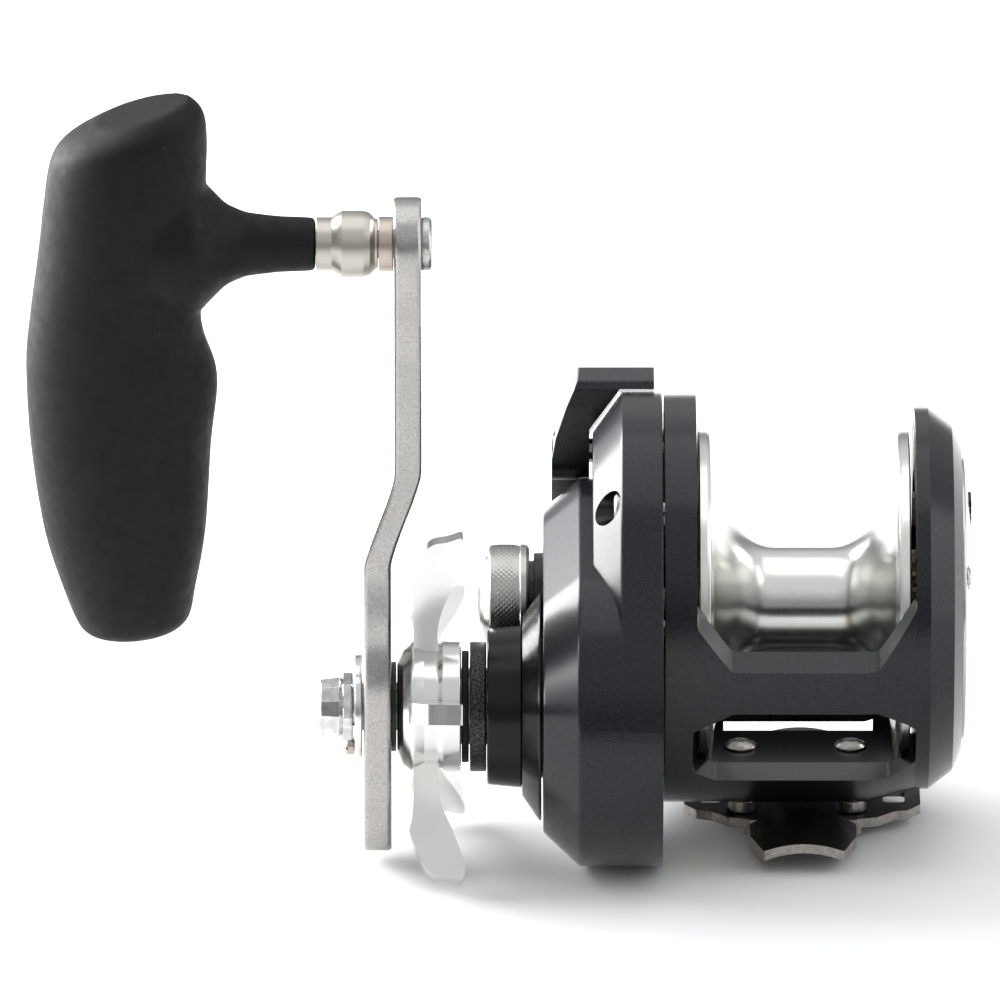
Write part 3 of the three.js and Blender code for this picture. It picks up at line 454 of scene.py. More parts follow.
HOUSING = housing_finish()
GLOSS = gloss_finish()
SPECKLED = speckled_finish()
SOFT = soft_finish()
SPOOL_METAL = polished_finish("spool_aluminium", AXIS, (0.72, 0.72, 0.69), 0.2, 0.27)
STAR_METAL = polished_finish("star_aluminium", CRANK, (0.7, 0.7, 0.68), 0.14, 0.22)
CAP_METAL = polished_finish("cap_aluminium", AXIS, (0.42, 0.42, 0.39), 0.2, 0.3)
TAIL_METAL = polished_finish("tail_aluminium", AXIS, (0.6, 0.55, 0.54), 0.2, 0.3)
ARM_METAL = blasted_finish("blasted_aluminium", (0.47, 0.455, 0.435), 0.26, 0.36, 0.24, 0.008)
CHROME = blasted_finish("chrome_plate", (0.7, 0.7, 0.7), 0.03, 0.08, 1.5, 0.0005)
NICKEL = polished_finish("satin_nickel", GRIP, (0.48, 0.455, 0.41), 0.28, 0.4)
RIVET_METAL = blasted_finish("dark_nickel", (0.42, 0.39, 0.36), 0.22, 0.4, 0.6, 0.008)
STEEL = blasted_finish("plain_steel", (0.56, 0.56, 0.56), 0.24, 0.38, 0.5, 0.006)
BRONZE = polished_finish("bronze_washer", GRIP, (0.5, 0.43, 0.37), 0.3, 0.4)
BRASS = blasted_finish("gear_brass", (0.7, 0.54, 0.28), 0.25, 0.4, 0.5, 0.006)
FIBRE = carbon_finish()
FOOT_BLACK = blasted_finish("foot_coating", (0.02, 0.0195, 0.018), 0.3, 0.46, 0.35, 0.01, 0.5)

SLOT_FINISH = {
    "housing": HOUSING,
    "gloss_black": GLOSS,
    "speckled_ring": SPECKLED,
    "soft_black": SOFT,
    "polished_silver": SPOOL_METAL,
    "blasted_silver": ARM_METAL,
    "chrome": CHROME,
    "nickel": NICKEL,
    "steel": STEEL,
    "bronze": BRONZE,
    "gear_brass": BRASS,
    "drag_carbon": FIBRE,
    "foot_black": FOOT_BLACK,
}


def dress_cad_nodes():
    """Carried-over CAD nodes, all of them inside the reel, get their slot's procedural finish."""
    for part in frame["record"]["subparts"]:
        obj = frame["nodes"][part["node"]]
        obj.data.materials.clear()
        obj.data.materials.append(SLOT_FINISH[part["material_slot"]])


# ---------------------------------------------------------------- camera, light and floor
CAMERA_TILT = math.radians(20)
CAMERA_DISTANCE = 3.2
VIEW_WIDTH = 0.1545  # width of the picture at the reel
AIM = Vector((-46.8, 5.2, 14.2))
FLOOR_REACH = 12  # metres from the reel to the floor's edge
WALL_STRENGTH = 0.3  # the studio's light from near the horizon
CEILING_STRENGTH = 0.85  # and from above


def make_camera():
    data = bpy.data.cameras.new("camera")
    data.sensor_width = 36
    data.lens = data.sensor_width * CAMERA_DISTANCE / VIEW_WIDTH
    data.clip_end = 40
    camera = bpy.data.objects.new("camera", data)
    bpy.context.scene.collection.objects.link(camera)
    aim = (AIM + Vector((0, 0, AXIS_Z))) * MM
    look = Vector((0, math.cos(CAMERA_TILT), -math.sin(CAMERA_TILT)))
    camera.location = aim - look * CAMERA_DISTANCE
    camera.rotation_euler = (math.pi / 2 - CAMERA_TILT, 0, 0)
    bpy.context.scene.camera = camera
    bpy.context.scene.view_settings.view_transform = "Standard"


def area_light(name, place_mm, size, power, aim_mm=(-40, -10, 20)):
    data = bpy.data.lights.new(name, "AREA")
    data.shape = "RECTANGLE"
    data.size, data.size_y = size
    data.energy = power
    light = bpy.data.objects.new(name, data)
    bpy.context.scene.collection.objects.link(light)
    light.location = Vector(place_mm) * MM
    aim = Vector(aim_mm) * MM - light.location
    light.rotation_euler = aim.to_track_quat("-Z", "Y").to_euler()


def make_light():
    """A studio with a bright ceiling, darker walls, and softboxes above and at both sides."""
    area_light("top_softbox", (-60, 120, 900), (1.1, 0.8), 2.5)
    area_light("left_softbox", (-900, 400, 330), (0.95, 0.75), 30)
    area_light("right_softbox", (800, -120, 420), (0.6, 0.9), 3)
    world = bpy.data.worlds.new("studio")
    bpy.context.scene.world = world
    world.use_nodes = True
    tree = world.node_tree
    background = tree.nodes["Background"]
    direction = tree.nodes.new("ShaderNodeTexCoord").outputs["Generated"]
    parts = tree.nodes.new("ShaderNodeSeparateXYZ")
    tree.links.new(direction, parts.inputs[0])
    height = tree.nodes.new("ShaderNodeMapRange")
    height.interpolation_type = "SMOOTHSTEP"
    height.inputs["From Min"].default_value = 0.1
    height.inputs["From Max"].default_value = 0.65
    height.inputs["To Min"].default_value = WALL_STRENGTH
    height.inputs["To Max"].default_value = CEILING_STRENGTH
    tree.links.new(parts.outputs["Z"], height.inputs["Value"])
    tree.links.new(height.outputs["Result"], background.inputs["Strength"])
    background.inputs["Color"].default_value = (0.96, 0.98, 1.0, 1)


def make_floor():
    """A plain pale floor just under the reel's lowest point."""
    low = CAD_BOX[0][2] - 0.0005
    bm = bmesh.new()
    bmesh.ops.create_grid(bm, x_segments=1, y_segments=1, size=FLOOR_REACH)
    mesh = bpy.data.meshes.new("floor")
    bm.to_mesh(mesh)
    bm.free()
    floor = bpy.data.objects.new("floor", mesh)
    floor.location = (0, 0, low)
    bpy.context.scene.collection.objects.link(floor)
    f = Finish("pale_floor", (0.88, 0.88, 0.88), 0.8, 0)
    f.tint(f.noise(40, 2), (0.87, 0.87, 0.87), (0.89, 0.89, 0.89))
    floor.data.materials.append(f.material)


# ---------------------------------------------------------------- frame
PLATE_SCREWS = [middle(f"plate_screw_{i}") - Vector((0, 0, AXIS_Z)) for i in (1, 2, 3, 4)]
TAIL_SCREWS = [middle(f"tail_screw_{i}") - Vector((0, 0, AXIS_Z)) for i in (1, 2, 3)]
RIVETS = [middle(f"foot_rivet_{i}") - Vector((0, 0, AXIS_Z)) for i in (1, 2, 3, 4)]
RING_RIGHT = -16.6
TAIL_LEFT = 17.1
FLOOR_TOP = -26.9
FLOOR_HALF = 13.3
FRAME_FLAT = -30.4
CROSSBAR_TOP = -0.7
CLICK_SLOT = (9.1, 15.9)


def flat_centre(point):
    return Vector((0, point.y, point.z))


def make_frame():
    shell = turned(
        "frame_body",
        [
            (-21.5, 26.3), (-21.5, 31.5), (10, 31.5, 3), (TAIL_LEFT, 29.5, 1.5), (19.2, 29.5), (22.9, 26.7),
            (24.3, 23.6), (24.3, 22.1), (23.9, 22.1), (23.9, 16.5), (20.4, 16.5), (20.4, 6.8), (22.6, 6.8),
            (22.6, 5.0), (18.7, 5.0), (18.7, 3.9), (18.4, 3.9), (18.4, 19), (TAIL_LEFT, 20),
            (TAIL_LEFT, 26.3),
        ],
        sides=FINE,
        fillet=0.12,
    )
    upper = prism(
        "upper",
        rounded(
            [(RING_RIGHT, 60), (RING_RIGHT, 5.8), (-11.2, CROSSBAR_TOP), (11.2, CROSSBAR_TOP),
             (TAIL_LEFT, 7.1),
             (TAIL_LEFT, 60)],
            1.6,
        ),
        -40,
        10,
        "Y",
    )
    slope = Matrix.Rotation(math.radians(17), 4, "X")
    pivot = Matrix.Translation((0, -31.5, CROSSBAR_TOP))
    upper.data.transform(pivot @ slope @ pivot.inverted())
    rear = prism(
        "rear",
        rounded([(RING_RIGHT, 60), (RING_RIGHT, -10), (-12, -15.6), (12, -15.6), (TAIL_LEFT, -10),
                 (TAIL_LEFT, 60)],
                1.6),
        -8,
        40,
        "Y",
    )
    lower = prism(
        "lower",
        rounded([(-17.2, -11.2), (-11.0, -7.8), (11.0, -7.8), (17.1, -11.2), (17.1, -18.2), (13.0, -21.4),
                 (-13.6, -21.4), (-17.2, -19.4)], 0.8),
        -40,
        -15,
        "Y",
    )
    slot = prism(
        "slot",
        rounded([(-13.4, FLOOR_HALF + 1), (-12.2, FLOOR_HALF), (11.3, FLOOR_HALF), (12.5, FLOOR_HALF + 1),
                 (12.5, 15.6), (11.3, 16.7), (-12.2, 16.7), (-13.4, 15.6)], 0.4),
        -40,
        -15,
        "Z",
    )
    floor = block("floor_cut", (RING_RIGHT, -FLOOR_HALF, FLOOR_TOP), (TAIL_LEFT, FLOOR_HALF, -15))
    under = block("under_cut", (-30, -20, -40), (30, 20, FRAME_FLAT))
    # The ring's inner edge is bevelled where the spool is open.
    lead = turned("lead", [(-19.4, 26.2), (-16.4, 29.4), (-16.0, 29.4), (-16.0, 26.2)], sides=FINE)
    lead = keep(lead, block("open_half", (-20, -40, 8), (-10, 40, 40)))
    tail_lead = turned("tail_lead", [(18.6, 26.2), (16.9, 27.9), (16.5, 27.9), (16.5, 26.2)], sides=FINE)
    tail_lead = keep(tail_lead, block("open_half", (10, -40, 9), (20, 40, 40)))
    holes = [upright(f"rivet_hole_{i}", p, 1.8, -40, -20) for i, p in enumerate(RIVETS)]
    screws = [rod("screw_hole", -23, -17.6, 1.2, flat_centre(p)) for p in PLATE_SCREWS]
    screws += [rod("screw_hole", 20.9, 26, 1.1, flat_centre(p)) for p in TAIL_SCREWS]
    click = block("click_slot", (17, -1.4, CLICK_SLOT[0]), (25, 1.4, CLICK_SLOT[1]))
    body = cut(shell, upper, rear, lower, slot, floor, under, lead, tail_lead, click, *holes, *screws)
    bevelled(body, 0.22)
    place(body, "housing", "housing", HOUSING, "frame", sharp=30)


def upright(name, centre, radius, low, high, sides=SMALL):
    """A cylinder along Z."""
    rings = []
    for z in (low, high):
        points = []
        for i in range(sides):
            a = 2 * math.pi * i / sides
            points.append((centre.x + radius * math.cos(a), centre.y + radius * math.sin(a), z))
        rings.append(points)
    return skin(name, rings)


# ---------------------------------------------------------------- handle side plate
PLATE_R = 31.8
PLATE_BEVEL = 6.3
CASE_SPOOL_R = 18.5
CASE_CRANK_R = 24.6
WALL = 2.2


def egg(x, spool_r, crank_r, steps=56):
    """Outline at x: the hull of a circle on the spool axis and one on the crank axis."""
    spread = math.acos((spool_r - crank_r) / CRANK_OFFSET)
    points = []
    for i in range(steps + 1):
        a = CRANK_ANGLE + spread + (2 * math.pi - 2 * spread) * i / steps
        points.append((x, spool_r * math.cos(a), spool_r * math.sin(a)))
    for i in range(steps + 1):
        a = CRANK_ANGLE - spread + 2 * spread * i / steps
        points.append((x, CRANK.y + crank_r * math.cos(a), CRANK.z + crank_r * math.sin(a)))
    return points


def egg_solid(name, profile, spool_r, crank_r):
    """Solid from (x, inset) points: the egg outline shrinks by the inset at each x."""
    return skin(name, [egg(x, spool_r - inset, crank_r - inset) for x, inset in profile])


def gear_case(grow):
    """Outside of the gear case, grown by a clearance."""
    profile = [(-21.8, 0), (-34.2, 0), (-34.6, 0.1), (-34.95, 0.38), (-39.8, 4.9), (-40.1, 5.25),
               (-40.2, 5.7)]
    return egg_solid("case", profile, CASE_SPOOL_R + grow, CASE_CRANK_R + grow)


def make_side_plate():
    # The plate's edge runs into the gear case round the crank axis.
    edge = [(-21.8, 0.2), (-22.0, 0), (-27.8, 0), (-28.1, 0.15), (-28.4, 0.55), (-32.25, 5.9),
            (-32.45, 6.2), (-32.5, 6.5)]
    plate = egg_solid("handle_side_plate_body", edge, PLATE_R, CASE_CRANK_R)
    case = gear_case(0)
    neck = rod("neck", -41.6, -39, 7.0, sides=MEDIUM, fillet=0.2)
    thread = rod("thread", -45.3, -39, 5.8, sides=48)
    whole = join(plate, case, neck, thread)
    disc_hollow = turned("hollow", [(-21, 0), (-21, 29.4), (-27.2, 29.4), (-30.3, 24.9), (-30.3, 0)],
                         sides=64)
    case_hollow = egg_solid("case_hollow", [(-21, 0), (-33.6, 0), (-38.0, 4.1)], CASE_SPOOL_R - WALL,
                            CASE_CRANK_R - WALL)
    # Screw bosses stay standing in the hollow.
    disc_hollow = cut(disc_hollow, *[rod("boss", -31, -20, 3.0, flat_centre(p)) for p in PLATE_SCREWS])
    tools = [
        disc_hollow,
        case_hollow,
        rod("shaft_hole", -46, -39.2, 2.6),
        rod("bearing_seat", -40.9, -37, 5.0),
        rod("spigot_hole", -42, -37, 11.3, CRANK, MEDIUM),
        rod("lever_hole", -34, -29, 2.2, LEVER),
    ]
    tools += [rod("counterbore", -45, -27.4, 2.7, flat_centre(p), 48) for p in PLATE_SCREWS]
    tools += [rod("through", -30, -20, 1.3, flat_centre(p)) for p in PLATE_SCREWS]
    body = cut(whole, *tools)
    bevelled(body, 0.18)
    place(body, "housing", "housing", HOUSING, "handle_side_plate", sharp=30)


def screw_head(name, x_face, x_back, radius, centre, body, node, finish=None, recess=0.55, sides=6):
    """A button head with a hexagonal or star recess, on its plain shank. x_face is the outer side."""
    into = 1 if x_back > x_face else -1
    low, high = extent(node)
    shank_end = (high.x if into > 0 else low.x) - 0.05 * into
    head = turned(
        name,
        [(x_face, 0), (x_face, radius * 0.8, 0.3), (x_face + into * 0.35, radius, 0.2),
         (x_back, radius, 0.1),
         (x_back, radius * 0.42, 0), (shank_end, radius * 0.42, 0.1), (shank_end, 0)],
        centre,
        48,
        0.1,
    )
    hole = rod("recess", x_face - into, x_face + into * 0.8, radius * recess, centre, sides)
    cut(head, hole)
    return place(head, body, "steel", finish or STEEL, node)


def make_plate_screws():
    for i, p in enumerate(PLATE_SCREWS, 1):
        screw_head(f"plate_screw_{i}_head", -29.3, -27.7, 2.3, flat_centre(p), "housing",
                   f"plate_screw_{i}")


# ---------------------------------------------------------------- foot
FOOT_Z = -AXIS_Z
FOOT_THICK = 1.5
FOOT_QUARTER = [(6.2, 25.6, 0.9), (8.2, 16.4, 0.8), (8.2, 10.6, 0.9), (11.5, 9.8, 1.2), (14.2, 7.2, 1.2),
                (16.4, 6.6, 1.2), (18.3, 4.0, 1.0)]
SADDLE_R = 15


def foot_outline():
    def side(sx, sy):
        return [(sx * x, sy * y, r) for x, y, r in FOOT_QUARTER]

    points = side(1, -1) + side(1, 1)[::-1] + side(-1, 1) + side(-1, -1)[::-1]
    return rounded(points, 1.0)


def make_foot():
    blank = prism("foot_blank", foot_outline(), FOOT_Z - 1, FOOT_Z + 4, "Z")
    flat = block("reel_foot_plate", (-20, -11, FOOT_Z), (20, 11, FOOT_Z + FOOT_THICK))
    arches = []
    for low, high in ((-30, -10.4), (10.4, 30)):
        centre = (0, FOOT_Z - SADDLE_R + 1.6)
        band = arc(centre, SADDLE_R + FOOT_THICK, 22, 158, 40) + arc(centre, SADDLE_R, 158, 22, 40)
        arches.append(prism("arch", band, low, high, "Y"))
    plate = keep(join(flat, *arches), blank)
    slots = []
    for side in (-1, 1):
        slots.append(prism("clamp_slot", rounded(
            [(side * 14.2 - 1.7, -3.2), (side * 14.2 + 1.7, -3.2), (side * 14.2 + 1.7, 3.2),
             (side * 14.2 - 1.7, 3.2)],
            0.8), -60, -20, "Z"))
    holes = [upright("hole", p, 1.8, -60, -20) for p in RIVETS]
    cut(plate, *slots, *holes)
    bevelled(plate, 0.18)
    place(plate, "housing", "foot_black", FOOT_BLACK, "reel_foot", sharp=30)
    add_edge_metal(plate)


def add_edge_metal(plate):
    """The foot's cut edges are bare metal: faces that stand upright take the nickel finish."""
    plate.data.materials.append(RIVET_METAL)
    for face in plate.data.polygons:
        if abs(face.normal.z) < 0.55:
            face.material_index = 1


def make_rivets():
    for i, p in enumerate(RIVETS, 1):
        head = FLOOR_TOP + 0.02
        top = FOOT_Z + FOOT_THICK + 0.1
        profile = [(FOOT_Z + 0.3, 0), (FOOT_Z + 0.3, 1.5), (top, 1.5), (top, 2.45, 0.25),
                   (FRAME_FLAT - 0.1, 2.45, 0.25),
                   (FRAME_FLAT - 0.1, 1.5), (head, 1.5), (head, 2.55, 0.15), (head + 0.35, 2.5, 0.2),
                   (head + 0.8, 1.8, 0.5), (head + 1.05, 0.8, 0.4), (head + 1.08, 0)]
        rivet = turned(f"foot_rivet_{i}_body", profile, sides=48, fillet=0.08)
        stand = Matrix.Translation((p.x, p.y, 0)) @ Matrix.Rotation(-math.pi / 2, 4, "Y")
        rivet.data.transform(stand)
        place(rivet, "housing", "nickel", RIVET_METAL, f"foot_rivet_{i}")


# ---------------------------------------------------------------- clutch housing and rings on the crank axis
def make_crank_rings():
    cone = turned("ratio_ring_body",
                  [(-43.4, 12.1), (-43.4, 13.7, 0.35), (-40.45, 18.0, 0.3), (-40.45, 12.1)], CRANK,
                  FINE, 0.15)
    cut(cone, rod("notch", -50, -38, 8.6, AXIS, 96))
    bevelled(cone, 0.12, 2)
    place(cone, "housing", "gloss_black", GLOSS, "ratio_ring")
    sleeve = turned(
        "clutch_housing_body",
        [(-48.8, 9.8), (-48.8, 12.0, 0.5), (-43.5, 12.5, 0.25), (-43.45, 12.0, 0.1), (-40.5, 12.0, 0.1),
         (-40.5, 11.0),
         (-37.9, 11.0), (-37.9, 9.8)],
        CRANK, FINE, 0.1)
    place(sleeve, "housing", "gloss_black", GLOSS, "clutch_housing")
    place(ring("clutch_cap_body", -51.45, -48.9, 6.4, 10.0, CRANK, fillet=0.35), "housing",
          "speckled_ring", SPECKLED,
          "clutch_cap")
    place(ring("clutch_seal_body", -52.7, -51.6, 6.4, 8.6, CRANK), "housing", "soft_black", SOFT,
          "clutch_seal")


# ---------------------------------------------------------------- star wheel
STAR_R = 28.1
STAR_ARM_DEGREES = 162.2
ARM_THICK = 3.1


def star_arm(index):
    """One arm in (radius, X): a waist near the hub, then a blade that leans towards the reel."""
    outline = [(8.5, -60.0), (15.0, -60.1)]
    outline += bezier((15.0, -60.1), (17.6, -60.15), (18.8, -60.4), (20.0, -60.75), 8)
    outline += bezier((20.0, -60.75), (22.2, -60.3), (24.6, -59.1), (26.1, -58.2), 8)
    outline += bezier((26.1, -58.2), (27.3, -57.2), (27.2, -56.2), (27.4, -55.0), 8)
    outline += bezier((27.4, -55.0), (27.7, -54.0), (28.0, -53.4), (STAR_R, -52.9), 4)
    outline += bezier((STAR_R, -52.9), (28.0, -52.3), (27.2, -52.2), (26.4, -52.2), 6)
    outline += bezier((26.4, -52.2), (23.6, -52.5), (20.5, -53.9), (18.2, -54.9), 10)
    outline += bezier((18.2, -54.9), (16.2, -55.8), (14.2, -56.4), (12.2, -56.4), 8)
    outline += [(8.5, -56.1)]
    blade = prism("arm", [(x, r) for r, x in outline], -ARM_THICK / 2, ARM_THICK / 2, "Y")
    # prism() put the radius on Z, so the arm turns about X from straight up.
    blade.data.transform(Matrix.Rotation(math.radians(STAR_ARM_DEGREES - 90 + 72 * index), 4, "X"))
    return blade


def make_star():
    hub = turned(
        "star_wheel_body",
        [(-62.6, 4.9), (-62.6, 6.6, 0.4), (-61.7, 8.9, 0.8), (-60.2, 10.2, 0.8), (-58.4, 9.6, 0.8),
         (-56.4, 9.5, 0.8),
         (-55.6, 10.0, 0.4), (-52.8, 10.0, 0.35), (-52.8, 8.9, 0.1), (-54.0, 8.9, 0.1), (-54.0, 4.9, 0.1)],
        AXIS, FINE, 0.2)
    join(hub, *[star_arm(k) for k in range(5)])
    cut(hub, rod("bore", -64, -52, 4.9, AXIS, 64))
    bevelled(hub, 0.32, 3, 35)
    hub.data.transform(Matrix.Translation(CRANK))
    place(hub, "star", "polished_silver", STAR_METAL, "star_wheel", sharp=32)


# ---------------------------------------------------------------- crank arm and what is on its end
ARM_OUTER = -67.7  # X of the outer face at the crank's hub
ARM_JOG = 4.7
ARM_PLATE = 4.2
ARM_EDGE = 0.9  # edge radius


def arm_offset(z):
    """How far the arm has moved in along X at a height over the crank axis."""
    t = min(max((z - 25.0) / 14.5, 0.0), 1.0)
    return ARM_JOG * (t * 0.7 + 0.3 * t * t * (3 - 2 * t))


def arm_half_width(z):
    stations = [(-15.8, 7.4), (-12, 8.1), (-4, 8.9), (4, 8.6), (14, 6.9), (24, 5.9), (44, 5.4), (58, 5.5),
                (66, 6.2),
                (CRANK_LENGTH, 7.2)]
    for (z0, w0), (z1, w1) in zip(stations, stations[1:]):
        if z <= z1:
            t = (z - z0) / (z1 - z0)
            return w0 + (w1 - w0) * t * t * (3 - 2 * t)
    return stations[-1][1]


def arm_ring(z, half_width):
    """Rounded rectangle across the arm at a height over the crank axis."""
    x0 = ARM_OUTER + arm_offset(z)
    x1 = x0 + ARM_PLATE
    r = min(ARM_EDGE, half_width * 0.6)
    corners = [(x1 - r, half_width - r, 0), (x0 + r, half_width - r, 90), (x0 + r, r - half_width, 180),
               (x1 - r, r - half_width, 270)]
    points = []
    for x, y, start in corners:
        points += [(px, py, z) for px, py in arc((x, y), r, start, start + 90, 5)]
    return points


def make_arm():
    low, high = -15.8, CRANK_LENGTH
    rings = []
    for k in range(12):
        a = math.radians(88 * (1 - k / 12))
        rings.append(arm_ring(low - 7.4 * math.sin(a), 7.4 * math.cos(a)))
    rings += [arm_ring(low + (high - low) * k / 90,
                       arm_half_width(low + (high - low) * k / 90)) for k in range(91)]
    for k in range(1, 13):
        a = math.radians(88 * k / 12)
        rings.append(arm_ring(high + 7.2 * math.sin(a), 7.2 * math.cos(a)))
    arm = skin("handle_arm_body", rings)
    cut(arm, rod("hub_hole", -80, -50, 4.0, AXIS, 48),
        rod("grip_hole", -80, -50, 2.6, Vector((0, 0, CRANK_LENGTH))))
    arm.data.transform(Matrix.Translation(CRANK))
    place(arm, "crank", "blasted_silver", ARM_METAL, "handle_arm", sharp=50)


def make_nut_stack():
    cap = turned("handle_nut_body", [(-74.8, 0), (-74.8, 3.6, 0.3), (-74.3, 4.4, 0.3), (-71.5, 4.75, 0.3),
                                     (-70.9, 4.2, 0.1), (-70.6, 4.2, 0.1), (-70.6, 0)], CRANK, 12, 0.1)
    hexagon = turned("hex", [(-71.2, 0), (-71.2, 4.7), (-70.9, 5.3), (-69.7, 5.3), (-69.4, 5.0),
                             (-69.4, 0)], CRANK, 6,
                     phase=0)
    join(cap, hexagon)
    cut(cap, rod("thread", -72.7, -60, 3.3, CRANK, 48))
    bevelled(cap, 0.12, 2)
    place(cap, "crank", "chrome", CHROME, "handle_nut", sharp=24)
    lock = ring("nut_lock_ring_body", -69.1, -68.0, 3.4, 8.0, CRANK, 96, 0.2)
    screw_centre = middle("nut_lock_screw")
    screw_centre = Vector((0, screw_centre.y, screw_centre.z - AXIS_Z))
    cut(lock, rod("hole", -71, -66, 1.2, screw_centre, 24))
    place(lock, "crank", "polished_silver", STAR_METAL, "nut_lock_ring")
    screw = turned("nut_lock_screw_body",
                   [(-70.6, 0), (-70.6, 1.1, 0.2), (-70.2, 1.4, 0.2), (-69.3, 1.45, 0.1),
                                           (-69.3, 0.9, 0), (-68.2, 0.9, 0.1), (-68.2, 0)], screw_centre,
                                           32, 0.1)
    cut(screw, block("slot", (-72, screw_centre.y - 1.6, screw_centre.z - 0.22),
                     (-70.1, screw_centre.y + 1.6, screw_centre.z + 0.22)))
    place(screw, "crank", "bronze", BRONZE, "nut_lock_screw")
    place(ring("arm_washer_body", -63.45, -62.75, 4.0, 6.9, CRANK, 96, 0.12), "crank", "foot_black",
          FOOT_BLACK,
          "arm_washer")


# ---------------------------------------------------------------- grip
GRIP_STATIONS = [
    (-109.0, -63.3, -97.5, -62.6, 5.0),
    (-111.4, -61.6, -94.6, -60.4, 8.4),
    (-113.9, -55.4, -93.5, -55.4, 10.2),
    (-116.7, -46, -91.9, -46, 11.2),
    (-118.7, -32, -91.0, -32, 11.6),
    (-119.3, -19, -90.0, -21, 11.4),
    (-118.6, -11, -92.4, -12.5, 11.2),
    (-117.3, -1, -92.0, -1, 11.2),
    (-116.4, 7, -91.6, 10, 11.0),
    (-115.4, 13.4, -91.4, 17.5, 10.4),
    (-113.4, 16.6, -92.0, 21.4, 9.4),
    (-108.5, 19.6, -94.0, 23.6, 6.2),
]
STEM_END = -74.9


def catmull(values, steps):
    """Smooth steps through a list of tuples."""
    out = []
    count = len(values)
    for i in range(count - 1):
        p0, p1, p2, p3 = (values[max(0, min(count - 1, i + k))] for k in (-1, 0, 1, 2))
        for s in range(steps):
            t = s / steps
            out.append(tuple(
                0.5 * (2 * b + (c - a) * t + (2 * a - 5 * b + 4 * c - d) * t * t
                       + (3 * b - a - 3 * c + d) * t**3)
                for a, b, c, d in zip(p0, p1, p2, p3)))
    out.append(values[-1])
    return out


def grip_ring(station, sides=64):
    left_x, left_z, right_x, right_z, half = station
    points = []
    for i in range(sides):
        a = 2 * math.pi * i / sides
        along = (1 - math.cos(a)) / 2
        points.append((left_x + (right_x - left_x) * along, -half * math.sin(a),
                       left_z + (right_z - left_z) * along))
    return points


def make_grip():
    bar = skin("knob_grip_body", [grip_ring(s) for s in catmull(GRIP_STATIONS, 5)])
    stem = turned("stem", [(-100, 0), (-100, 11.0), (-93.2, 11.0, 3), (-90.8, 8.4, 3), (-88.6, 6.2, 3),
                           (-85.6, 4.9, 4),
                           (-80.5, 4.3, 4), (STEM_END, 4.1, 0.15), (STEM_END, 0)], AXIS, MEDIUM, 0.5)
    join(bar, stem)
    remesh = bar.modifiers.new("remesh", "REMESH")
    remesh.mode = "VOXEL"
    remesh.voxel_size = 0.45
    remesh.use_smooth_shade = True
    smooth = bar.modifiers.new("smooth", "SMOOTH")
    smooth.factor = 0.5
    smooth.iterations = 14
    settle(bar)
    # The bore and a crisp mouth come after the smoothing.
    cut(bar, rod("bore", -96.5, -60, 3.1, AXIS, 48), rod("mouth", STEM_END, -60, 12, AXIS, 24))
    bar.data.transform(Matrix.Translation(GRIP))
    place(bar, "grip", "soft_black", SOFT, "knob_grip", sharp=50)


def make_grip_hardware():
    ferrule = turned(
        "knob_ferrule_body",
        [(-74.85, 2.9), (-74.85, 4.1, 0.15), (-72.5, 4.1, 0.2), (-71.6, 4.7, 0.5), (-70.9, 5.1, 0.6),
         (-67.6, 5.1, 0.6),
         (-66.6, 4.75, 0.5), (-65.9, 3.9, 0.2), (-65.45, 3.9, 0.2), (-65.45, 2.9)],
        GRIP, MEDIUM, 0.1)
    place(ferrule, "grip", "nickel", NICKEL, "knob_ferrule")
    place(ring("knob_washer_body", -65.3, -63.1, 2.5, 4.2, GRIP, MEDIUM, 0.2), "crank", "bronze", BRONZE,
          "knob_washer")
    spindle = turned(
        "knob_spindle_body",
        [(-96.0, 0), (-96.0, 1.8, 0.2), (-65.6, 1.8, 0), (-65.6, 2.2, 0), (-58.8, 2.2, 0),
         (-58.8, 4.1, 0.3),
         (-57.6, 4.1, 0.3), (-57.2, 3.7, 0.3), (-57.2, 0)],
        GRIP, MEDIUM, 0.1)
    cut(spindle, rod("socket", -58.4, -56, 2.0, GRIP, 6))
    place(spindle, "crank", "steel", STEEL, "knob_spindle")


# ---------------------------------------------------------------- freespool lever
LEVER_SWING = 30
LEVER_CLEARANCE = 0.5


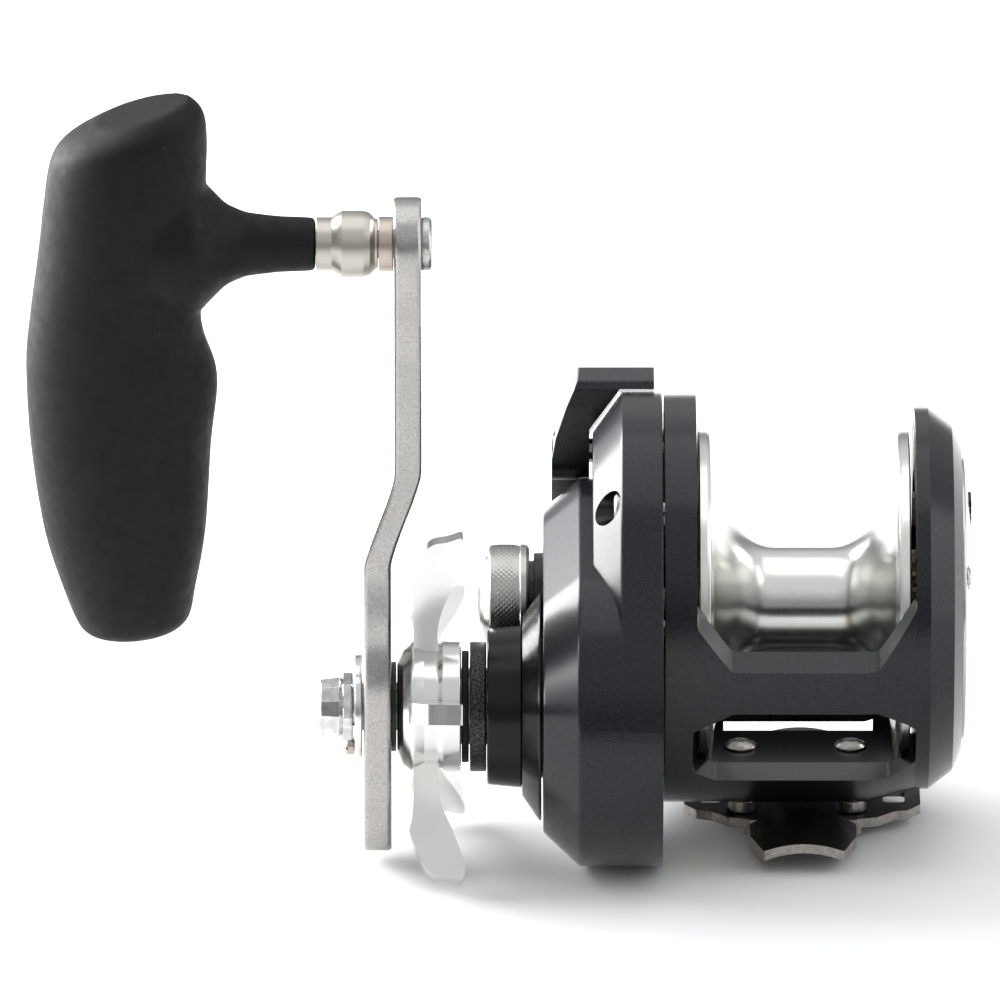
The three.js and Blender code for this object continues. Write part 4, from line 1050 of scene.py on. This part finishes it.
def make_lever():
    y, z = LEVER.y, LEVER.z
    outline = [(*p, 0) for p in arc((y, z), 4.9, 184, 234, 10)]
    outline += [(y + 1.0, 10.5), (y + 4.0, 10.5), (y + 4.9, z), (y + 4.6, 28.6), (y + 3.6, 31.4),
                (y + 1.8, 32.4),
                (y - 3.6, 32.1), (y - 4.6, 31.0), (y - 5.0, 28.0)]
    blade = prism("clutch_lever_body", rounded(outline, 0.7), -38.8, -23.0, "X")
    # The outer face leans in towards the thumb end, the inner side follows the plate's edge.
    lean = prism("lean", [(-45, 14), (-38.8, 19.5), (-38.2, 23.0), (-36.6, 28.0), (-34.9, 32.0),
                          (-33.6, 33.0),
                          (-33.0, 40), (-45, 40)], -5, 40, "Y")
    reach = PLATE_R + LEVER_CLEARANCE
    edge = turned("edge", [(-33.0, 0), (-33.0, reach - PLATE_BEVEL), (-28.3, reach), (-20, reach),
                           (-20, 0)],
                  sides=FINE)
    tab_end = prism("tab_end", [(-26, 40), (-22.4, 32.6), (-22.4, 27.0), (-15, 27), (-15, 40)], -5, 40, "Y")
    cut(blade, lean, tab_end, *seen_from_lever(edge), *seen_from_lever(gear_case(LEVER_CLEARANCE)))
    cut(blade, rod("shaft_hole", -36, -30, 2.2, LEVER), rod("head_seat", -40, -37, 2.9, LEVER, 48),
        rod("screw_hole", -40, -30, 1.3, LEVER))
    bevelled(blade, 0.7, 4, 30)
    place(blade, "lever", "housing", HOUSING, "clutch_lever", sharp=30)
    screw = turned("lever_screw_body", [(-38.6, 0), (-38.6, 2.0, 0.3), (-38.2, 2.5, 0.3), (-37.2, 2.6, 0.1),
                                        (-37.2, 1.0, 0), (-36.0, 1.0, 0.1), (-36.0, 0)], LEVER, 48, 0.1)
    cut(screw, rod("recess", -40, -37.8, 1.3, LEVER, 6))
    place(screw, "lever", "steel", STEEL, "lever_screw")


def seen_from_lever(shape):
    """Where a fixed shape stands as the lever swings, seen from the lever."""
    places = []
    for k in range(4):
        moved = bpy.data.objects.new(f"{shape.name}_{k}", shape.data.copy())
        bpy.context.scene.collection.objects.link(moved)
        turn = Matrix.Rotation(math.radians(LEVER_SWING * k / 3), 4, "X")
        moved.data.transform(Matrix.Translation(LEVER) @ turn @ Matrix.Translation(-LEVER))
        places.append(moved)
    bpy.data.objects.remove(shape)
    return places


# ---------------------------------------------------------------- cast control knob
def make_cast_knob():
    plain = turned(
        "cast_control_knob_body",
        [(-50.3, 0), (-50.25, 2.0, 0.6), (-49.9, 4.6, 1.2), (-49.2, 6.5, 1.0), (-48.6, 7.2, 0.3),
         (-48.55, 7.9, 0.1),
         (-48.3, 8.15, 0.1), (-43.75, 8.15, 0.1), (-43.6, 8.3, 0.15), (-42.7, 8.3, 0.3), (-42.3, 7.9, 0.2),
         (-42.3, 0)],
        AXIS, FINE, 0.1)
    cut(plain, rod("thread", -47.3, -40, 6.1, AXIS, 64))
    place(plain, "cast_cap", "polished_silver", CAP_METAL, "cast_control_knob")
    place(knurl_band(), "cast_cap", "polished_silver", CAP_METAL, sharp=60)


KNURL_COUNT = 64
KNURL_DEPTH = 0.17


def knurl_band():
    """A thin sleeve whose outside is a diamond knurl."""
    rows = 36
    columns = KNURL_COUNT * 4
    x0, x1 = -48.25, -43.85
    pitch = 2 * math.pi * 8.3 / KNURL_COUNT
    rings = [circle(x0, 7.6, columns)]
    for i in range(rows + 1):
        x = x0 + (x1 - x0) * i / rows
        edge = min(1.0, 4 * i / rows, 4 * (rows - i) / rows)
        points = []
        for j in range(columns):
            a = 2 * math.pi * j / columns
            along = (x - x0) / pitch
            around = j / 4
            wave = [abs((v % 1.0) - 0.5) * 2 for v in (around + along, around - along)]
            height = KNURL_DEPTH * min(wave) * edge
            r = 8.14 + height
            points.append((x, r * math.cos(a), r * math.sin(a)))
        rings.append(points)
    rings.append(circle(x1, 7.6, columns))
    return skin("cast_knurl", rings, cyclic=True)


# ---------------------------------------------------------------- spool
def flare(x0, x1, r0, r1, steps):
    points = []
    for i in range(steps + 1):
        a = math.pi / 2 * i / steps
        points.append((x0 + (x1 - x0) * math.sin(a), r0 + (r1 - r0) * (1 - math.cos(a)), 0))
    return points


def make_spool():
    half = flare(4.4, 14.0, 7.85, 24.4, 28) + [(14.5, 25.6, 0.3), (15.0, 25.8, 0.3), (16.1, 25.8, 0.2),
                                               (16.3, 25.6, 0.2),
                                              (16.3, 23.2, 0.4)]
    half += flare(6.0, 15.0, 6.2, 22.0, 16)[::-1] + [(6.0, 4.6, 0.3), (16.2, 4.6, 0.2)]
    left = [(-x, r, f) for x, r, f in half][::-1]
    spool = turned("spool_body", half + [(16.2, 2.7, 0.2), (-16.2, 2.7, 0.2)] + left, AXIS, FINE, 0.1)
    place(spool, "spool", "polished_silver", SPOOL_METAL, "spool", sharp=32)


# ---------------------------------------------------------------- tail
def make_tail():
    cap = turned(
        "tail_cap_body",
        [(24.2, 0), (24.2, 21.8, 0.2), (24.8, 21.7, 0.3), (25.3, 18.0, 2), (25.8, 13.0, 3), (26.2, 7.0, 3),
         (26.35, 0)],
        AXIS, FINE, 0.3)
    cut(cap, block("recess", (25.0, -2.7, 7.8), (30, 2.7, 17.1)),
        block("slot", (20, -1.3, CLICK_SLOT[0]), (30, 1.3, CLICK_SLOT[1])),
        *[rod("hole", 20, 30, 1.1, flat_centre(p)) for p in TAIL_SCREWS],
        *[rod("seat", 24.9, 30, 1.9, flat_centre(p), 48) for p in TAIL_SCREWS])
    bevelled(cap, 0.15, 2)
    place(cap, "housing", "polished_silver", TAIL_METAL, "tail_cap", sharp=30)
    for i, p in enumerate(TAIL_SCREWS, 1):
        screw_head(f"tail_screw_{i}_head", 25.5, 24.95, 1.6, flat_centre(p), "housing", f"tail_screw_{i}")
    low, high = extent("click_button")
    low.z -= AXIS_Z
    high.z -= AXIS_Z
    high.x = low.x + 0.6  # only its ribs stand out of the cap
    button = block("click_button_body", low, high)
    ribs = []
    for k in range(3):
        z = low.z + (high.z - low.z) * (k + 1) / 4
        ribs.append(block("groove", (high.x - 0.35, low.y - 1, z - 0.2), (high.x + 1, high.y + 1, z + 0.2)))
    cut(button, *ribs)
    bevelled(button, 0.12, 2)
    place(button, "clicker", "gloss_black", GLOSS, "click_button")


# ---------------------------------------------------------------- build
make_camera()
make_light()
make_floor()
dress_cad_nodes()
make_frame()
make_side_plate()
make_plate_screws()
make_foot()
make_rivets()
make_crank_rings()
make_star()
make_arm()
make_nut_stack()
make_grip()
make_grip_hardware()
make_lever()
make_cast_knob()
make_spool()
make_tail()
